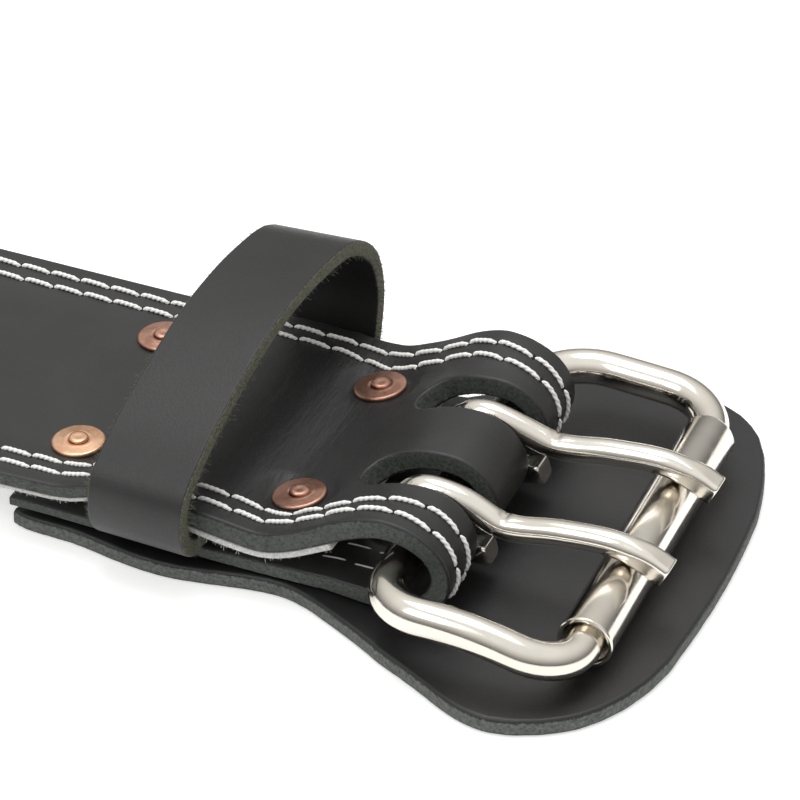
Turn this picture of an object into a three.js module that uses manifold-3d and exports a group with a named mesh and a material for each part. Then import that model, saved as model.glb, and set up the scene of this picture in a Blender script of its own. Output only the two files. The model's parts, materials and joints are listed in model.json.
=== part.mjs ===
// A tapered leather weightlifting belt, lying open and flat on a table, with a
// two-prong roller buckle. Millimetres, +Z up, the table at Z = 0. +X runs
// towards the buckle end, Y runs across the belt and the finished side is up.
import * as THREE from 'three';
import { mergeVertices } from 'three/addons/utils/BufferGeometryUtils.js';
import Module from 'manifold-3d';

const wasm = await Module();
wasm.setup();

// Lengths along the belt, all measured from the axis of the buckle's back bar
const TIP_REACH = 1030;
const PAD_REACH = 49;
const PAD_TAIL = 75.6;
const BACK_RIVET_REACH = 67.8;
const FRONT_RIVET_REACH = 24.2;
const LOOP_REACH = 44.8;
const SLOT_REACH = 13.2;
const LINING_END = 11.1;
const VALLEY_REACH = 27.2;
const HUMP_REACH = 2.5;
const NARROW_FROM = 4;
const NARROW_TO = 14;
const OVERRUN = 8;

// Widths across the belt
const STRAP_WIDTH = 64;
const BACK_WIDTH = 101.6;
const RETURN_WIDTH = 61;
const PAD_NEAR = 52.4;
const PAD_FAR = 53.4;
const RIVET_SPACING = 36.6;

// Leather and lining
const STRAP_THICKNESS = 4;
const FOLD_THICKNESS = 3.7;
const RETURN_THICKNESS = 2.9;
const RETURN_LOOP_THICKNESS = 2.4;
const RETURN_END_THICKNESS = 2;
const LINING_THICKNESS = 1.2;
const PAD_THICKNESS = 3.4;
const LOOP_THICKNESS = 3;
const LOOP_WIDTH = 18.6;
const LOOP_CLEARANCE = 3.2;
const LOOP_HEIGHT = 31.7;
const LOOP_SHIFT = 0.7;
const LOOP_SKEW_DEG = 3.6;
const LOOP_TAIL_MARGIN = 2.8;
const LOOP_NOSE_MARGIN = 0.9;
const LOOP_CLIMB = 6;
const GAP = 0.3;
const FRONT_LIFT = 0.4;
const LOOP_LIFT = 0.8;
const BACK_LIFT = 1.8;
const VALLEY_EASE = 0.4;
const LOOP_EASE = 0.5;
const BURR_SINK = 0.1;

// Where the belt widens to the back and narrows to the tongue
const BUCKLE_SECTION = 110;
const EDGE_SPREAD = 0.0148;
const FLARE_LENGTH = 220;
const TONGUE_LENGTH = 270;
const TAPER_LENGTH = 170;
const RAMP_HEAD = 112;
const RAMP_LENGTH = 140;
const TONGUE_CORNER = 26;

// Holes for the prongs, and the two slots that the prongs stand in
const HOLE_ROWS = 8;
const HOLE_PITCH = 25.4;
const HOLE_RADIUS = 3.2;
const FIRST_HOLE = 55;
const PRONG_SPACING = 25.4;
const SLOT_WIDTH = 10;
const SLOT_SHIFT = -0.3;

// Buckle
const BAR_HEIGHT = 13.4;
const WIRE_RADIUS = 3.4;
const FRAME_LENGTH = 35.2;
const FRAME_DROP = 3.5;
const FRAME_WIDTH = 84.6;
const FRONT_SKEW = 0.3;
const FRONT_CANT = 1.1;
const NEAR_BOW = 2.4;
const FAR_BOW = 0.4;
const NEAR_BACK_CORNER = 9.7;
const NEAR_FRONT_CORNER = 8.8;
const FAR_BACK_CORNER = 12.5;
const FAR_FRONT_CORNER = 11.5;
const BUCKLE_SHIFT = -1.4;
const PRONG_SHIFT = -2.55;
const PRONG_RADIUS = 2.45;
const PRONG_OVERHANG = 9.2;
const PRONG_DROOP = 3.2;
const CREASE_REACH = 13.2;
const TAIL_REACH = 11.4;
const ROLLER_RADIUS = 4.75;
const ROLLER_WALL = 0.75;
const ROLLER_LENGTH = 64;
const BAR_TO_FOLD = 1.1;
const FOLD_NOSE = 8;

// Copper rivets and burrs
const SHANK_RADIUS = 1.6;
const BURR_RADIUS = 4.95;
const BURR_THICKNESS = 1.1;
const BURR_BEVEL = 0.33;
const HEAD_RADIUS = 5;
const HEAD_THICKNESS = 1;
const DOME_RADIUS = 2.1;
const DOME_HEIGHT = 0.8;
const DOME_SHOULDER_RADIUS = 1.7;
const DOME_SHOULDER_HEIGHT = 0.56;

const BELT_LENGTH = TIP_REACH + PAD_REACH;
const PRONG_SIDES = [-PRONG_SPACING / 2, PRONG_SPACING / 2];
const RIVET_HOLE = SHANK_RADIUS + GAP;
const TALL = 80;
const PAST_FOLD = 4 * FOLD_NOSE;
const STATION_STEP = 2.6;
const RAMP_STEPS = 10;

// Heights of the layers, from the table up. The return stands a little off the
// pad, more towards its tail, and the belt lies on it with the lining between
const TABLE_UNDERSIDE = LINING_THICKNESS + GAP;
const RETURN_BASE = PAD_THICKNESS + GAP;
const LINED = GAP + LINING_THICKNESS + GAP;
const FRONT_TOP = PAD_THICKNESS + FRONT_LIFT + RETURN_THICKNESS;
const LOOP_RETURN_TOP = PAD_THICKNESS + LOOP_LIFT + RETURN_LOOP_THICKNESS;
const BACK_TOP = PAD_THICKNESS + BACK_LIFT + RETURN_END_THICKNESS;
const STACK_UNDERSIDE = BACK_TOP + LINED;
const LOOP_BASE = LOOP_RETURN_TOP + GAP;
const LOOP_UNDERSIDE = LOOP_BASE + LOOP_THICKNESS + LINED + LOOP_EASE;
const VALLEY_UNDERSIDE = FRONT_TOP + LINED + VALLEY_EASE;
const HUMP_UNDERSIDE = BAR_HEIGHT + WIRE_RADIUS + BAR_TO_FOLD;
const RUN_OFFSET = STRAP_THICKNESS / 2;

const finishes = {
  leather: { color: 0x2f2f31, roughness: 0.62, metalness: 0 },
  suede: { color: 0xd9d9d4, roughness: 0.95, metalness: 0 },
  steel: { color: 0xd8d2c6, roughness: 0.2, metalness: 1 },
  copper: { color: 0xb06a48, roughness: 0.38, metalness: 1 },
};

function toManifold(geometry) {
  const bare = geometry.clone();
  bare.deleteAttribute('normal');
  bare.deleteAttribute('uv');
  const merged = mergeVertices(bare, 1e-4);
  return new wasm.Manifold(new wasm.Mesh({
    numProp: 3,
    vertProperties: Float32Array.from(merged.attributes.position.array),
    triVerts: Uint32Array.from(merged.index.array),
  }));
}

function toGeometry(manifold) {
  const mesh = manifold.getMesh();
  const geometry = new THREE.BufferGeometry();
  geometry.setAttribute('position', new THREE.BufferAttribute(mesh.vertProperties, 3));
  geometry.setIndex(new THREE.BufferAttribute(mesh.triVerts, 1));
  geometry.computeVertexNormals();
  return geometry;
}

function named(name, geometry, finish) {
  const mesh = new THREE.Mesh(geometry, new THREE.MeshStandardMaterial(finishes[finish]));
  mesh.name = name;
  return mesh;
}

function smoothstep(t) {
  const s = Math.min(1, Math.max(0, t));
  return s * s * (3 - 2 * s);
}

// Height between the rows of a table of {x, z}, level at each row
function between(rows, x) {
  if (x <= rows[0].x) return rows[0].z;
  for (let i = 1; i < rows.length; i += 1) {
    const a = rows[i - 1];
    const b = rows[i];
    if (x <= b.x) return a.z + (b.z - a.z) * smoothstep((x - a.x) / (b.x - a.x));
  }
  return rows[rows.length - 1].z;
}

// A prism over an outline in the XY plane, from one height to another
function plate(shape, low, high) {
  const geometry = new THREE.ExtrudeGeometry(shape, { depth: high - low, bevelEnabled: false });
  return geometry.translate(0, 0, low);
}

// A prism across the belt over an outline in the XZ plane
function acrossBelt(shape, halfWidth) {
  const geometry = new THREE.ExtrudeGeometry(shape, { depth: 2 * halfWidth, bevelEnabled: false });
  return geometry.rotateX(Math.PI / 2).translate(0, halfWidth, 0);
}

function post(radius, x, y, sides = 16) {
  const geometry = new THREE.CylinderGeometry(radius, radius, 2 * TALL, sides);
  return geometry.rotateX(Math.PI / 2).translate(x, y, 0);
}

// The strap's underside from the tongue to the hump over the back bar: the
// tongue and the back lie on the table, then the belt climbs onto the pad,
// rises over the keeper loop, dips at the front rivets and rises to the hump
const loopTail = LOOP_REACH + LOOP_WIDTH / 2 + LOOP_TAIL_MARGIN;
const loopNose = LOOP_REACH - LOOP_WIDTH / 2 - LOOP_NOSE_MARGIN;
const undersideRows = [
  { at: 'ramp foot', x: -(RAMP_HEAD + RAMP_LENGTH), z: TABLE_UNDERSIDE },
  { at: 'ramp head', x: -RAMP_HEAD, z: STACK_UNDERSIDE },
  { at: 'before loop', x: -(loopTail + LOOP_CLIMB), z: STACK_UNDERSIDE },
  { at: 'loop tail', x: -loopTail, z: LOOP_UNDERSIDE },
  { at: 'loop nose', x: -loopNose, z: LOOP_UNDERSIDE },
  { at: 'valley', x: -VALLEY_REACH, z: VALLEY_UNDERSIDE },
  { at: 'hump', x: -HUMP_REACH, z: HUMP_UNDERSIDE },
];

// Upper and lower face of the return, which is skived thinner to its tail
const returnBaseRows = [
  { at: 'tail', x: -PAD_TAIL, z: PAD_THICKNESS + BACK_LIFT },
  { at: 'loop', x: -LOOP_REACH, z: PAD_THICKNESS + LOOP_LIFT },
  { at: 'front rivets', x: -FRONT_RIVET_REACH, z: PAD_THICKNESS + FRONT_LIFT },
  { at: 'fold', x: 0, z: RETURN_BASE },
];
const returnTopRows = [
  { at: 'tail', x: -PAD_TAIL, z: BACK_TOP },
  { at: 'loop tail', x: -loopTail, z: LOOP_RETURN_TOP },
  { at: 'loop nose', x: -loopNose, z: LOOP_RETURN_TOP },
  { at: 'front rivets', x: -FRONT_RIVET_REACH, z: FRONT_TOP },
  { at: 'fold', x: 0, z: RETURN_BASE + FOLD_THICKNESS },
];

// Stations along the strap's upper run, close together only where it curves
function runStations() {
  const [foot, head, ...climbs] = undersideRows;
  const xs = [-TIP_REACH - OVERRUN, foot.x];
  const add = (from, to, steps) => {
    for (let i = 1; i <= steps; i += 1) xs.push(from.x + ((to.x - from.x) * i) / steps);
  };
  add(foot, head, RAMP_STEPS);
  let last = head;
  climbs.forEach((row) => {
    const curved = Math.max(4, Math.round((row.x - last.x) / STATION_STEP));
    add(last, row, last.z === row.z ? 1 : curved);
    last = row;
  });
  return xs;
}

// The strap's middle line: upper run, round the nose of the fold, and back
// along the return. Each point carries the leather's thickness there
function strapLine() {
  const line = runStations().map((x) => (
    { x, z: between(undersideRows, x) + RUN_OFFSET, t: STRAP_THICKNESS }
  ));
  const top = HUMP_UNDERSIDE + RUN_OFFSET;
  const bottom = RETURN_BASE + FOLD_THICKNESS / 2;
  const noseX = BAR_TO_FOLD / 2;
  const arcSteps = 16;
  for (let i = 0; i <= arcSteps; i += 1) {
    const angle = Math.PI / 2 - (Math.PI * i) / arcSteps;
    line.push({
      x: -noseX + FOLD_NOSE * Math.cos(angle),
      z: (top + bottom) / 2 + ((top - bottom) / 2) * Math.sin(angle),
      t: FOLD_THICKNESS + (STRAP_THICKNESS - FOLD_THICKNESS) * smoothstep(1 - i / 5),
    });
  }
  const steps = 16;
  for (let i = 1; i <= steps; i += 1) {
    const x = -noseX - ((PAD_TAIL - noseX) * i) / steps;
    const top = between(returnTopRows, x);
    const base = between(returnBaseRows, x);
    line.push({ x, z: (top + base) / 2, t: top - base });
  }
  return line;
}

// Points beside a line, moved along its normal by an amount given per point
function beside(line, amount) {
  return line.map((p, i) => {
    const a = line[Math.max(0, i - 1)];
    const b = line[Math.min(line.length - 1, i + 1)];
    const length = Math.hypot(b.x - a.x, b.z - a.z);
    const shift = amount(p);
    return new THREE.Vector2(p.x - ((b.z - a.z) / length) * shift, p.z + ((b.x - a.x) / length) * shift);
  });
}

function bandShape(line, upper, lower) {
  return new THREE.Shape([...beside(line, upper), ...beside(line, lower).reverse()]);
}

// Half the belt's width at a place along it
function halfWidthAt(x) {
  const narrow = STRAP_WIDTH / 2;
  const wide = BACK_WIDTH / 2;
  const reach = -x;
  const section = narrow + EDGE_SPREAD * Math.min(reach, BUCKLE_SECTION);
  const flare = smoothstep((reach - BUCKLE_SECTION) / FLARE_LENGTH);
  const taperEnd = TIP_REACH - TONGUE_LENGTH;
  const taper = smoothstep((reach - (taperEnd - TAPER_LENGTH)) / TAPER_LENGTH);
  return section + (wide - section) * flare + (narrow - wide) * taper;
}

// The belt's outline from above, with a rounded tongue
function beltOutline() {
  const xs = [PAST_FOLD, 0];
  for (let i = 0; i <= 12; i += 1) xs.push(-BUCKLE_SECTION - (FLARE_LENGTH * i) / 12);
  for (let i = 0; i <= 10; i += 1) xs.push(-(TIP_REACH - TONGUE_LENGTH - TAPER_LENGTH) - (TAPER_LENGTH * i) / 10);
  const near = xs.map((x) => new THREE.Vector2(x, -halfWidthAt(x)));
  const half = STRAP_WIDTH / 2;
  const steps = 12;
  const tip = [];
  for (let i = 0; i <= steps; i += 1) {
    const angle = -Math.PI / 2 + (Math.PI * i) / steps;
    tip.push(new THREE.Vector2(
      -(TIP_REACH - TONGUE_CORNER) - TONGUE_CORNER * Math.cos(angle),
      half * Math.sin(angle),
    ));
  }
  const far = near.map((p) => new THREE.Vector2(p.x, -p.y)).reverse();
  return new THREE.Shape([...near, ...tip, ...far]);
}

function slotShape(y) {
  const r = SLOT_WIDTH / 2;
  const shape = new THREE.Shape();
  shape.moveTo(PAST_FOLD, y - r);
  shape.lineTo(PAST_FOLD, y + r);
  shape.lineTo(-SLOT_REACH + r, y + r);
  shape.absarc(-SLOT_REACH + r, y, r, Math.PI / 2, (3 * Math.PI) / 2, false);
  return shape;
}

// Upper face of the strap and its slope under a burr
function burrSeat(x) {
  const ends = [-BURR_RADIUS, BURR_RADIUS].map((d) => between(undersideRows, x + d));
  const z = between(undersideRows, x) + STRAP_THICKNESS - BURR_SINK;
  return { z, slope: Math.atan2(ends[1] - ends[0], 2 * BURR_RADIUS) };
}

const rivetPlaces = [FRONT_RIVET_REACH, BACK_RIVET_REACH].flatMap((reach) => (
  [-1, 1].map((side) => ({ x: -reach, y: (side * RIVET_SPACING) / 2 }))
));

function holePlaces() {
  const places = [];
  for (let row = 0; row < HOLE_ROWS; row += 1) {
    const x = -(TIP_REACH - FIRST_HOLE) + row * HOLE_PITCH;
    PRONG_SIDES.forEach((y) => places.push({ x, y }));
  }
  return places;
}

// What is cut out of strap and lining alike: rivet holes, prong holes, slots
function beltCutters() {
  const cutters = rivetPlaces.map((p) => toManifold(post(RIVET_HOLE, p.x, p.y, 12)));
  holePlaces().forEach((p) => cutters.push(toManifold(post(HOLE_RADIUS, p.x, p.y))));
  PRONG_SIDES.forEach((y) => cutters.push(toManifold(plate(slotShape(y + SLOT_SHIFT), -TALL, TALL))));
  return cutters;
}

// The turned-back return is a little narrower than the strap above it
function returnTrimmers() {
  const reach = PAD_TAIL + OVERRUN;
  return [-1, 1].map((side) => {
    const inner = (side * RETURN_WIDTH) / 2;
    const outer = side * STRAP_WIDTH;
    const shape = new THREE.Shape([
      new THREE.Vector2(-NARROW_FROM, side * (STRAP_WIDTH / 2 + GAP)),
      new THREE.Vector2(-NARROW_TO, inner),
      new THREE.Vector2(-reach, inner),
      new THREE.Vector2(-reach, outer),
      new THREE.Vector2(-NARROW_FROM, outer),
    ]);
    return toManifold(plate(shape, 0, BAR_HEIGHT - WIRE_RADIUS));
  });
}

// Shallow flats that the burrs press into the leather
function burrSeats() {
  return rivetPlaces.map((p) => {
    const radius = BURR_RADIUS + GAP;
    const well = new THREE.CylinderGeometry(radius, radius, TALL, 20);
    well.rotateX(Math.PI / 2).translate(0, 0, TALL / 2);
    const seat = burrSeat(p.x);
    return toManifold(well.rotateY(-seat.slope).translate(p.x, p.y, seat.z));
  });
}

function cutAll(solid, cutters) {
  return cutters.reduce((left, cutter) => left.subtract(cutter), solid);
}

function strap() {
  const line = strapLine();
  const profile = bandShape(line, (p) => p.t / 2, (p) => -p.t / 2);
  const blank = toManifold(acrossBelt(profile, BACK_WIDTH));
  const outline = toManifold(plate(beltOutline(), -TALL, TALL));
  const cutters = [...beltCutters(), ...returnTrimmers(), ...burrSeats()];
  return toGeometry(cutAll(blank.intersect(outline), cutters));
}

function lining() {
  const line = strapLine().filter((p, i) => i < runStations().length && p.x < -LINING_END);
  const endX = -LINING_END;
  line.push({ x: endX, z: between(undersideRows, endX) + RUN_OFFSET, t: STRAP_THICKNESS });
  const profile = bandShape(
    line,
    (p) => -p.t / 2 - GAP,
    (p) => -p.t / 2 - GAP - LINING_THICKNESS,
  );
  const blank = toManifold(acrossBelt(profile, BACK_WIDTH));
  const outline = toManifold(plate(beltOutline(), -TALL, TALL));
  return toGeometry(cutAll(blank.intersect(outline), beltCutters()));
}

// Outline of the pad under the buckle. Along is a share of its length from the
// tail, near and far are shares of its reach to the near and the far side
const padRows = [
  { at: 'tail corner', along: 0, near: 0.557, far: 0.547 },
  { at: 'tail side', along: 0.02, near: 0.577, far: 0.565 },
  { at: 'under loop', along: 0.245, near: 0.624, far: 0.605 },
  { at: 'neck', along: 0.43, near: 0.576, far: 0.585 },
  { at: 'shoulder', along: 0.52, near: 0.67, far: 0.72 },
  { at: 'flank', along: 0.655, near: 0.851, far: 0.93 },
  { at: 'widest', along: 0.8, near: 1, far: 1 },
  { at: 'front corner', along: 0.895, near: 0.922, far: 0.91 },
  { at: 'front turn', along: 0.945, near: 0.798, far: 0.753 },
  { at: 'front side', along: 0.985, near: 0.573, far: 0.44 },
  { at: 'front', along: 0.997, near: 0.3, far: 0.15 },
];

function padOutline() {
  const length = PAD_REACH + PAD_TAIL;
  const rowX = (row) => row.along * length - PAD_TAIL;
  const near = padRows.map((row) => new THREE.Vector2(rowX(row), -row.near * PAD_NEAR));
  const far = padRows.map((row) => new THREE.Vector2(rowX(row), row.far * PAD_FAR)).reverse();
  const front = new THREE.Vector2(PAD_REACH, BUCKLE_SHIFT);
  const rim = new THREE.SplineCurve([...near, front, ...far]);
  return new THREE.Shape(rim.getPoints(76));
}

function pad() {
  const sheet = toManifold(plate(padOutline(), 0, PAD_THICKNESS));
  const shanks = rivetPlaces.map((p) => toManifold(post(RIVET_HOLE, p.x, p.y, 12)));
  const recesses = rivetPlaces.map((p) => {
    const deep = HEAD_THICKNESS + 2 * GAP;
    const well = new THREE.CylinderGeometry(HEAD_RADIUS + GAP, HEAD_RADIUS + GAP, 2 * deep, 16);
    return toManifold(well.rotateX(Math.PI / 2).translate(p.x, p.y, 0));
  });
  return toGeometry(cutAll(sheet, [...shanks, ...recesses]));
}

// Outer edge of the keeper loop, seen along the belt. Side is a share of its
// half width, rise a share of its height, going round from the near foot
const loopRows = [
  { at: 'near foot', side: -0.88, rise: 0 },
  { at: 'near heel', side: -0.97, rise: 0.1 },
  { at: 'near side', side: -1, rise: 0.26 },
  { at: 'near flank', side: -0.965, rise: 0.42 },
  { at: 'near shoulder', side: -0.82, rise: 0.575 },
  { at: 'near crown', side: -0.47, rise: 0.79 },
  { at: 'middle', side: -0.05, rise: 0.955 },
  { at: 'crown', side: 0.4, rise: 1 },
  { at: 'far crown', side: 0.71, rise: 0.965 },
  { at: 'far shoulder', side: 0.92, rise: 0.76 },
  { at: 'far flank', side: 1, rise: 0.47 },
  { at: 'far side', side: 0.975, rise: 0.2 },
  { at: 'far heel', side: 0.94, rise: 0.08 },
  { at: 'far foot', side: 0.87, rise: 0 },
  { at: 'far floor', side: 0.6, rise: 0 },
  { at: 'near floor', side: -0.6, rise: 0 },
];

function loopOutline() {
  const half = halfWidthAt(-LOOP_REACH) + LOOP_CLEARANCE + LOOP_THICKNESS;
  const points = loopRows.map((row) => new THREE.Vector3(
    row.side * half + LOOP_SHIFT,
    LOOP_BASE + row.rise * LOOP_HEIGHT,
    0,
  ));
  const curve = new THREE.CatmullRomCurve3(points, true, 'centripetal');
  return curve.getPoints(64).slice(0, -1).map((p) => ({ x: p.x, z: Math.max(LOOP_BASE, p.y) }));
}

function insideOf(ring, distance) {
  return ring.map((p, i) => {
    const a = ring[(i + ring.length - 1) % ring.length];
    const b = ring[(i + 1) % ring.length];
    const length = Math.hypot(b.x - a.x, b.z - a.z);
    return new THREE.Vector2(p.x + ((b.z - a.z) / length) * distance, p.z - ((b.x - a.x) / length) * distance);
  });
}

function keeperLoop() {
  const ring = loopOutline();
  const shape = new THREE.Shape(ring.map((p) => new THREE.Vector2(p.x, p.z)));
  shape.holes.push(new THREE.Path(insideOf(ring, LOOP_THICKNESS).reverse()));
  const geometry = new THREE.ExtrudeGeometry(shape, { depth: LOOP_WIDTH, bevelEnabled: false });
  geometry.translate(0, 0, -LOOP_WIDTH / 2);
  geometry.applyMatrix4(new THREE.Matrix4().makeBasis(
    new THREE.Vector3(0, 1, 0),
    new THREE.Vector3(0, 0, 1),
    new THREE.Vector3(1, 0, 0),
  ));
  geometry.rotateZ(THREE.MathUtils.degToRad(-LOOP_SKEW_DEG));
  return geometry.translate(-LOOP_REACH, 0, 0);
}

// Middle line of the frame's wire, a bent ring with rounded corners. Its side
// arms run down from the back bar to the front bar and bow up a little, and the
// front bar lies a little askew: longer and lower at its near end
function frameRing() {
  const half = FRAME_WIDTH / 2;
  const plan = [];
  const corner = (x, y, r, from) => {
    for (let i = 0; i <= 8; i += 1) {
      const angle = from + ((Math.PI / 2) * i) / 8;
      plan.push({ x: x + r * Math.cos(angle), y: y + r * Math.sin(angle) });
    }
  };
  const side = (x0, y0, x1, y1, steps) => {
    for (let i = 1; i < steps; i += 1) {
      plan.push({ x: x0 + ((x1 - x0) * i) / steps, y: y0 + ((y1 - y0) * i) / steps });
    }
  };
  const nearX = FRAME_LENGTH - NEAR_FRONT_CORNER;
  const farX = FRAME_LENGTH - FAR_FRONT_CORNER;
  corner(NEAR_BACK_CORNER, NEAR_BACK_CORNER - half, NEAR_BACK_CORNER, Math.PI);
  side(NEAR_BACK_CORNER, -half, nearX, -half, 5);
  corner(nearX, NEAR_FRONT_CORNER - half, NEAR_FRONT_CORNER, (3 * Math.PI) / 2);
  side(FRAME_LENGTH, NEAR_FRONT_CORNER - half, FRAME_LENGTH, half - FAR_FRONT_CORNER, 3);
  corner(farX, half - FAR_FRONT_CORNER, FAR_FRONT_CORNER, 0);
  side(farX, half, FAR_BACK_CORNER, half, 4);
  corner(FAR_BACK_CORNER, half - FAR_BACK_CORNER, FAR_BACK_CORNER, Math.PI / 2);
  side(0, half - FAR_BACK_CORNER, 0, NEAR_BACK_CORNER - half, 3);
  return plan.map((p) => {
    const forward = p.x / FRAME_LENGTH;
    const across = p.y / half;
    const front = frontBarAt(p.y);
    const bow = (NEAR_BOW * (1 - across) + FAR_BOW * (1 + across)) / 2;
    return new THREE.Vector3(
      front.x * forward,
      p.y + BUCKLE_SHIFT,
      BAR_HEIGHT + (front.z - BAR_HEIGHT) * forward + bow * 4 * forward * (1 - forward),
    );
  });
}

// The front bar's middle line at a distance to one side of the buckle's middle
function frontBarAt(y) {
  const across = (2 * y) / FRAME_WIDTH;
  return {
    x: FRAME_LENGTH - FRONT_SKEW * across,
    z: BAR_HEIGHT - FRAME_DROP + FRONT_CANT * across,
  };
}

// A closed ring of round wire, one flat-sided section at each point
function wireRing(points, radius, sides) {
  const positions = [];
  const index = [];
  const count = points.length;
  points.forEach((p, i) => {
    const ahead = points[(i + 1) % count].clone().sub(points[(i + count - 1) % count]).normalize();
    const across = new THREE.Vector3().crossVectors(ahead, new THREE.Vector3(0, 0, 1)).normalize();
    const above = new THREE.Vector3().crossVectors(across, ahead);
    for (let k = 0; k < sides; k += 1) {
      const angle = (2 * Math.PI * k) / sides;
      const q = p.clone()
        .addScaledVector(across, radius * Math.cos(angle))
        .addScaledVector(above, radius * Math.sin(angle));
      positions.push(q.x, q.y, q.z);
      const a = i * sides + k;
      const b = i * sides + ((k + 1) % sides);
      const c = ((i + 1) % count) * sides + k;
      const d = ((i + 1) % count) * sides + ((k + 1) % sides);
      index.push(a, c, b, b, c, d);
    }
  });
  const geometry = new THREE.BufferGeometry();
  geometry.setAttribute('position', new THREE.Float32BufferAttribute(positions, 3));
  geometry.setIndex(index);
  geometry.computeVertexNormals();
  return geometry;
}

// The tube that turns on the front bar, along that bar's line
function roller() {
  const half = ROLLER_LENGTH / 2;
  const inner = ROLLER_RADIUS - ROLLER_WALL;
  const profile = [
    new THREE.Vector2(inner, -half),
    new THREE.Vector2(ROLLER_RADIUS, -half),
    new THREE.Vector2(ROLLER_RADIUS, half),
    new THREE.Vector2(inner, half),
    new THREE.Vector2(inner, -half),
  ];
  const [near, far] = [-half, half].map((y) => {
    const bar = frontBarAt(y);
    return new THREE.Vector3(bar.x, y, bar.z);
  });
  const turn = new THREE.Quaternion().setFromUnitVectors(
    new THREE.Vector3(0, 1, 0),
    far.clone().sub(near).normalize(),
  );
  const middle = frontBarAt(0);
  const geometry = new THREE.LatheGeometry(profile, 24).applyQuaternion(turn);
  return geometry.translate(middle.x, BUCKLE_SHIFT, middle.z);
}

// A prong beyond its crease: along is a share of the way from the crease to the
// roller's top or, past 1, of the overhang. Rise is a share of the tip's droop
const prongRows = [
  { at: 'crease', along: 0, past: 0, rise: -0.5 },
  { at: 'middle', along: 0.5, past: 0, rise: -0.08 },
  { at: 'roller', along: 1, past: -0.15, rise: 0.06 },
  { at: 'past roller', along: 1, past: 0.5, rise: -0.36 },
  { at: 'tip', along: 1, past: 1, rise: -1 },
];

// Middle line of a prong: the tail end, once round the back bar, down to the
// crease, then along and over the roller to the drooping tip
function prongLine(front) {
  const reach = WIRE_RADIUS + GAP + PRONG_RADIUS;
  const bar = new THREE.Vector2(0, BAR_HEIGHT);
  const overRoller = front.z + ROLLER_RADIUS + PRONG_RADIUS + GAP;
  const [crease, ...onward] = prongRows.map((row) => new THREE.Vector2(
    CREASE_REACH + (front.x - CREASE_REACH) * row.along + PRONG_OVERHANG * row.past,
    overRoller + PRONG_DROOP * row.rise,
  ));
  const tail = new THREE.Vector2(TAIL_REACH, crease.y - 2 * (PRONG_RADIUS + GAP));
  const tangent = (point, turn) => {
    const away = point.clone().sub(bar);
    return Math.atan2(away.y, away.x) + turn * Math.acos(reach / away.length());
  };
  const from = tangent(tail, -1);
  const to = tangent(crease, 1) - 2 * Math.PI;
  const points = [tail];
  for (let i = 0; i <= 14; i += 1) {
    const angle = from + ((to - from) * i) / 14;
    points.push(new THREE.Vector2(reach * Math.cos(angle), BAR_HEIGHT + reach * Math.sin(angle)));
  }
  return [...points, crease, ...onward];
}

function prong(side) {
  const y = side + PRONG_SHIFT;
  const line = prongLine(frontBarAt(y - BUCKLE_SHIFT)).map((p) => new THREE.Vector3(p.x, 0, p.y));
  const path = new THREE.CatmullRomCurve3(line, false, 'centripetal');
  const section = new THREE.Shape();
  section.absarc(0, 0, PRONG_RADIUS, 0, 2 * Math.PI, false);
  const geometry = new THREE.ExtrudeGeometry(section, {
    steps: 44,
    curveSegments: 5,
    bevelEnabled: false,
    extrudePath: path,
  });
  return geometry.translate(0, y, 0);
}

function burr(place) {
  const profile = [
    new THREE.Vector2(RIVET_HOLE, 0),
    new THREE.Vector2(BURR_RADIUS, 0),
    new THREE.Vector2(BURR_RADIUS, BURR_THICKNESS - BURR_BEVEL),
    new THREE.Vector2(BURR_RADIUS - BURR_BEVEL, BURR_THICKNESS),
    new THREE.Vector2(RIVET_HOLE, BURR_THICKNESS),
    new THREE.Vector2(RIVET_HOLE, 0),
  ];
  const seat = burrSeat(place.x);
  const geometry = new THREE.LatheGeometry(profile, 20).rotateX(Math.PI / 2);
  geometry.translate(0, 0, -BURR_THICKNESS / 2).rotateY(-seat.slope);
  return geometry.translate(place.x, place.y, seat.z + GAP + BURR_THICKNESS / 2);
}

function rivet(place) {
  const under = burrSeat(place.x);
  const burrTop = under.z + GAP + BURR_THICKNESS + DOME_RADIUS * Math.tan(under.slope);
  const base = GAP / 2;
  const neck = base + HEAD_THICKNESS;
  const seat = burrTop + GAP;
  const profile = [
    new THREE.Vector2(0, base),
    new THREE.Vector2(HEAD_RADIUS, base),
    new THREE.Vector2(HEAD_RADIUS, neck),
    new THREE.Vector2(SHANK_RADIUS, neck),
    new THREE.Vector2(SHANK_RADIUS, seat),
    new THREE.Vector2(DOME_RADIUS, seat),
    new THREE.Vector2(DOME_SHOULDER_RADIUS, seat + DOME_SHOULDER_HEIGHT),
    new THREE.Vector2(0, seat + DOME_HEIGHT),
  ];
  const geometry = new THREE.LatheGeometry(profile, 14).rotateX(Math.PI / 2);
  return geometry.translate(place.x, place.y, 0);
}

const belt = new THREE.Group();
belt.position.x = BELT_LENGTH / 2 - PAD_REACH;
belt.position.y = (PAD_NEAR - PAD_FAR) / 2;

belt.add(named('belt_strap', strap(), 'leather'));
belt.add(named('lining', lining(), 'suede'));
belt.add(named('buckle_pad', pad(), 'leather'));
belt.add(named('keeper_loop', keeperLoop(), 'leather'));
rivetPlaces.forEach((place, i) => {
  belt.add(named(`rivet_${i + 1}`, rivet(place), 'copper'));
  belt.add(named(`burr_${i + 1}`, burr(place), 'copper'));
});
belt.add(named('buckle_frame', wireRing(frameRing(), WIRE_RADIUS, 12), 'steel'));
belt.add(named('roller', roller(), 'steel'));
PRONG_SIDES.forEach((side, i) => belt.add(named(`prong_${i + 1}`, prong(side), 'steel')));

export default belt;
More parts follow.
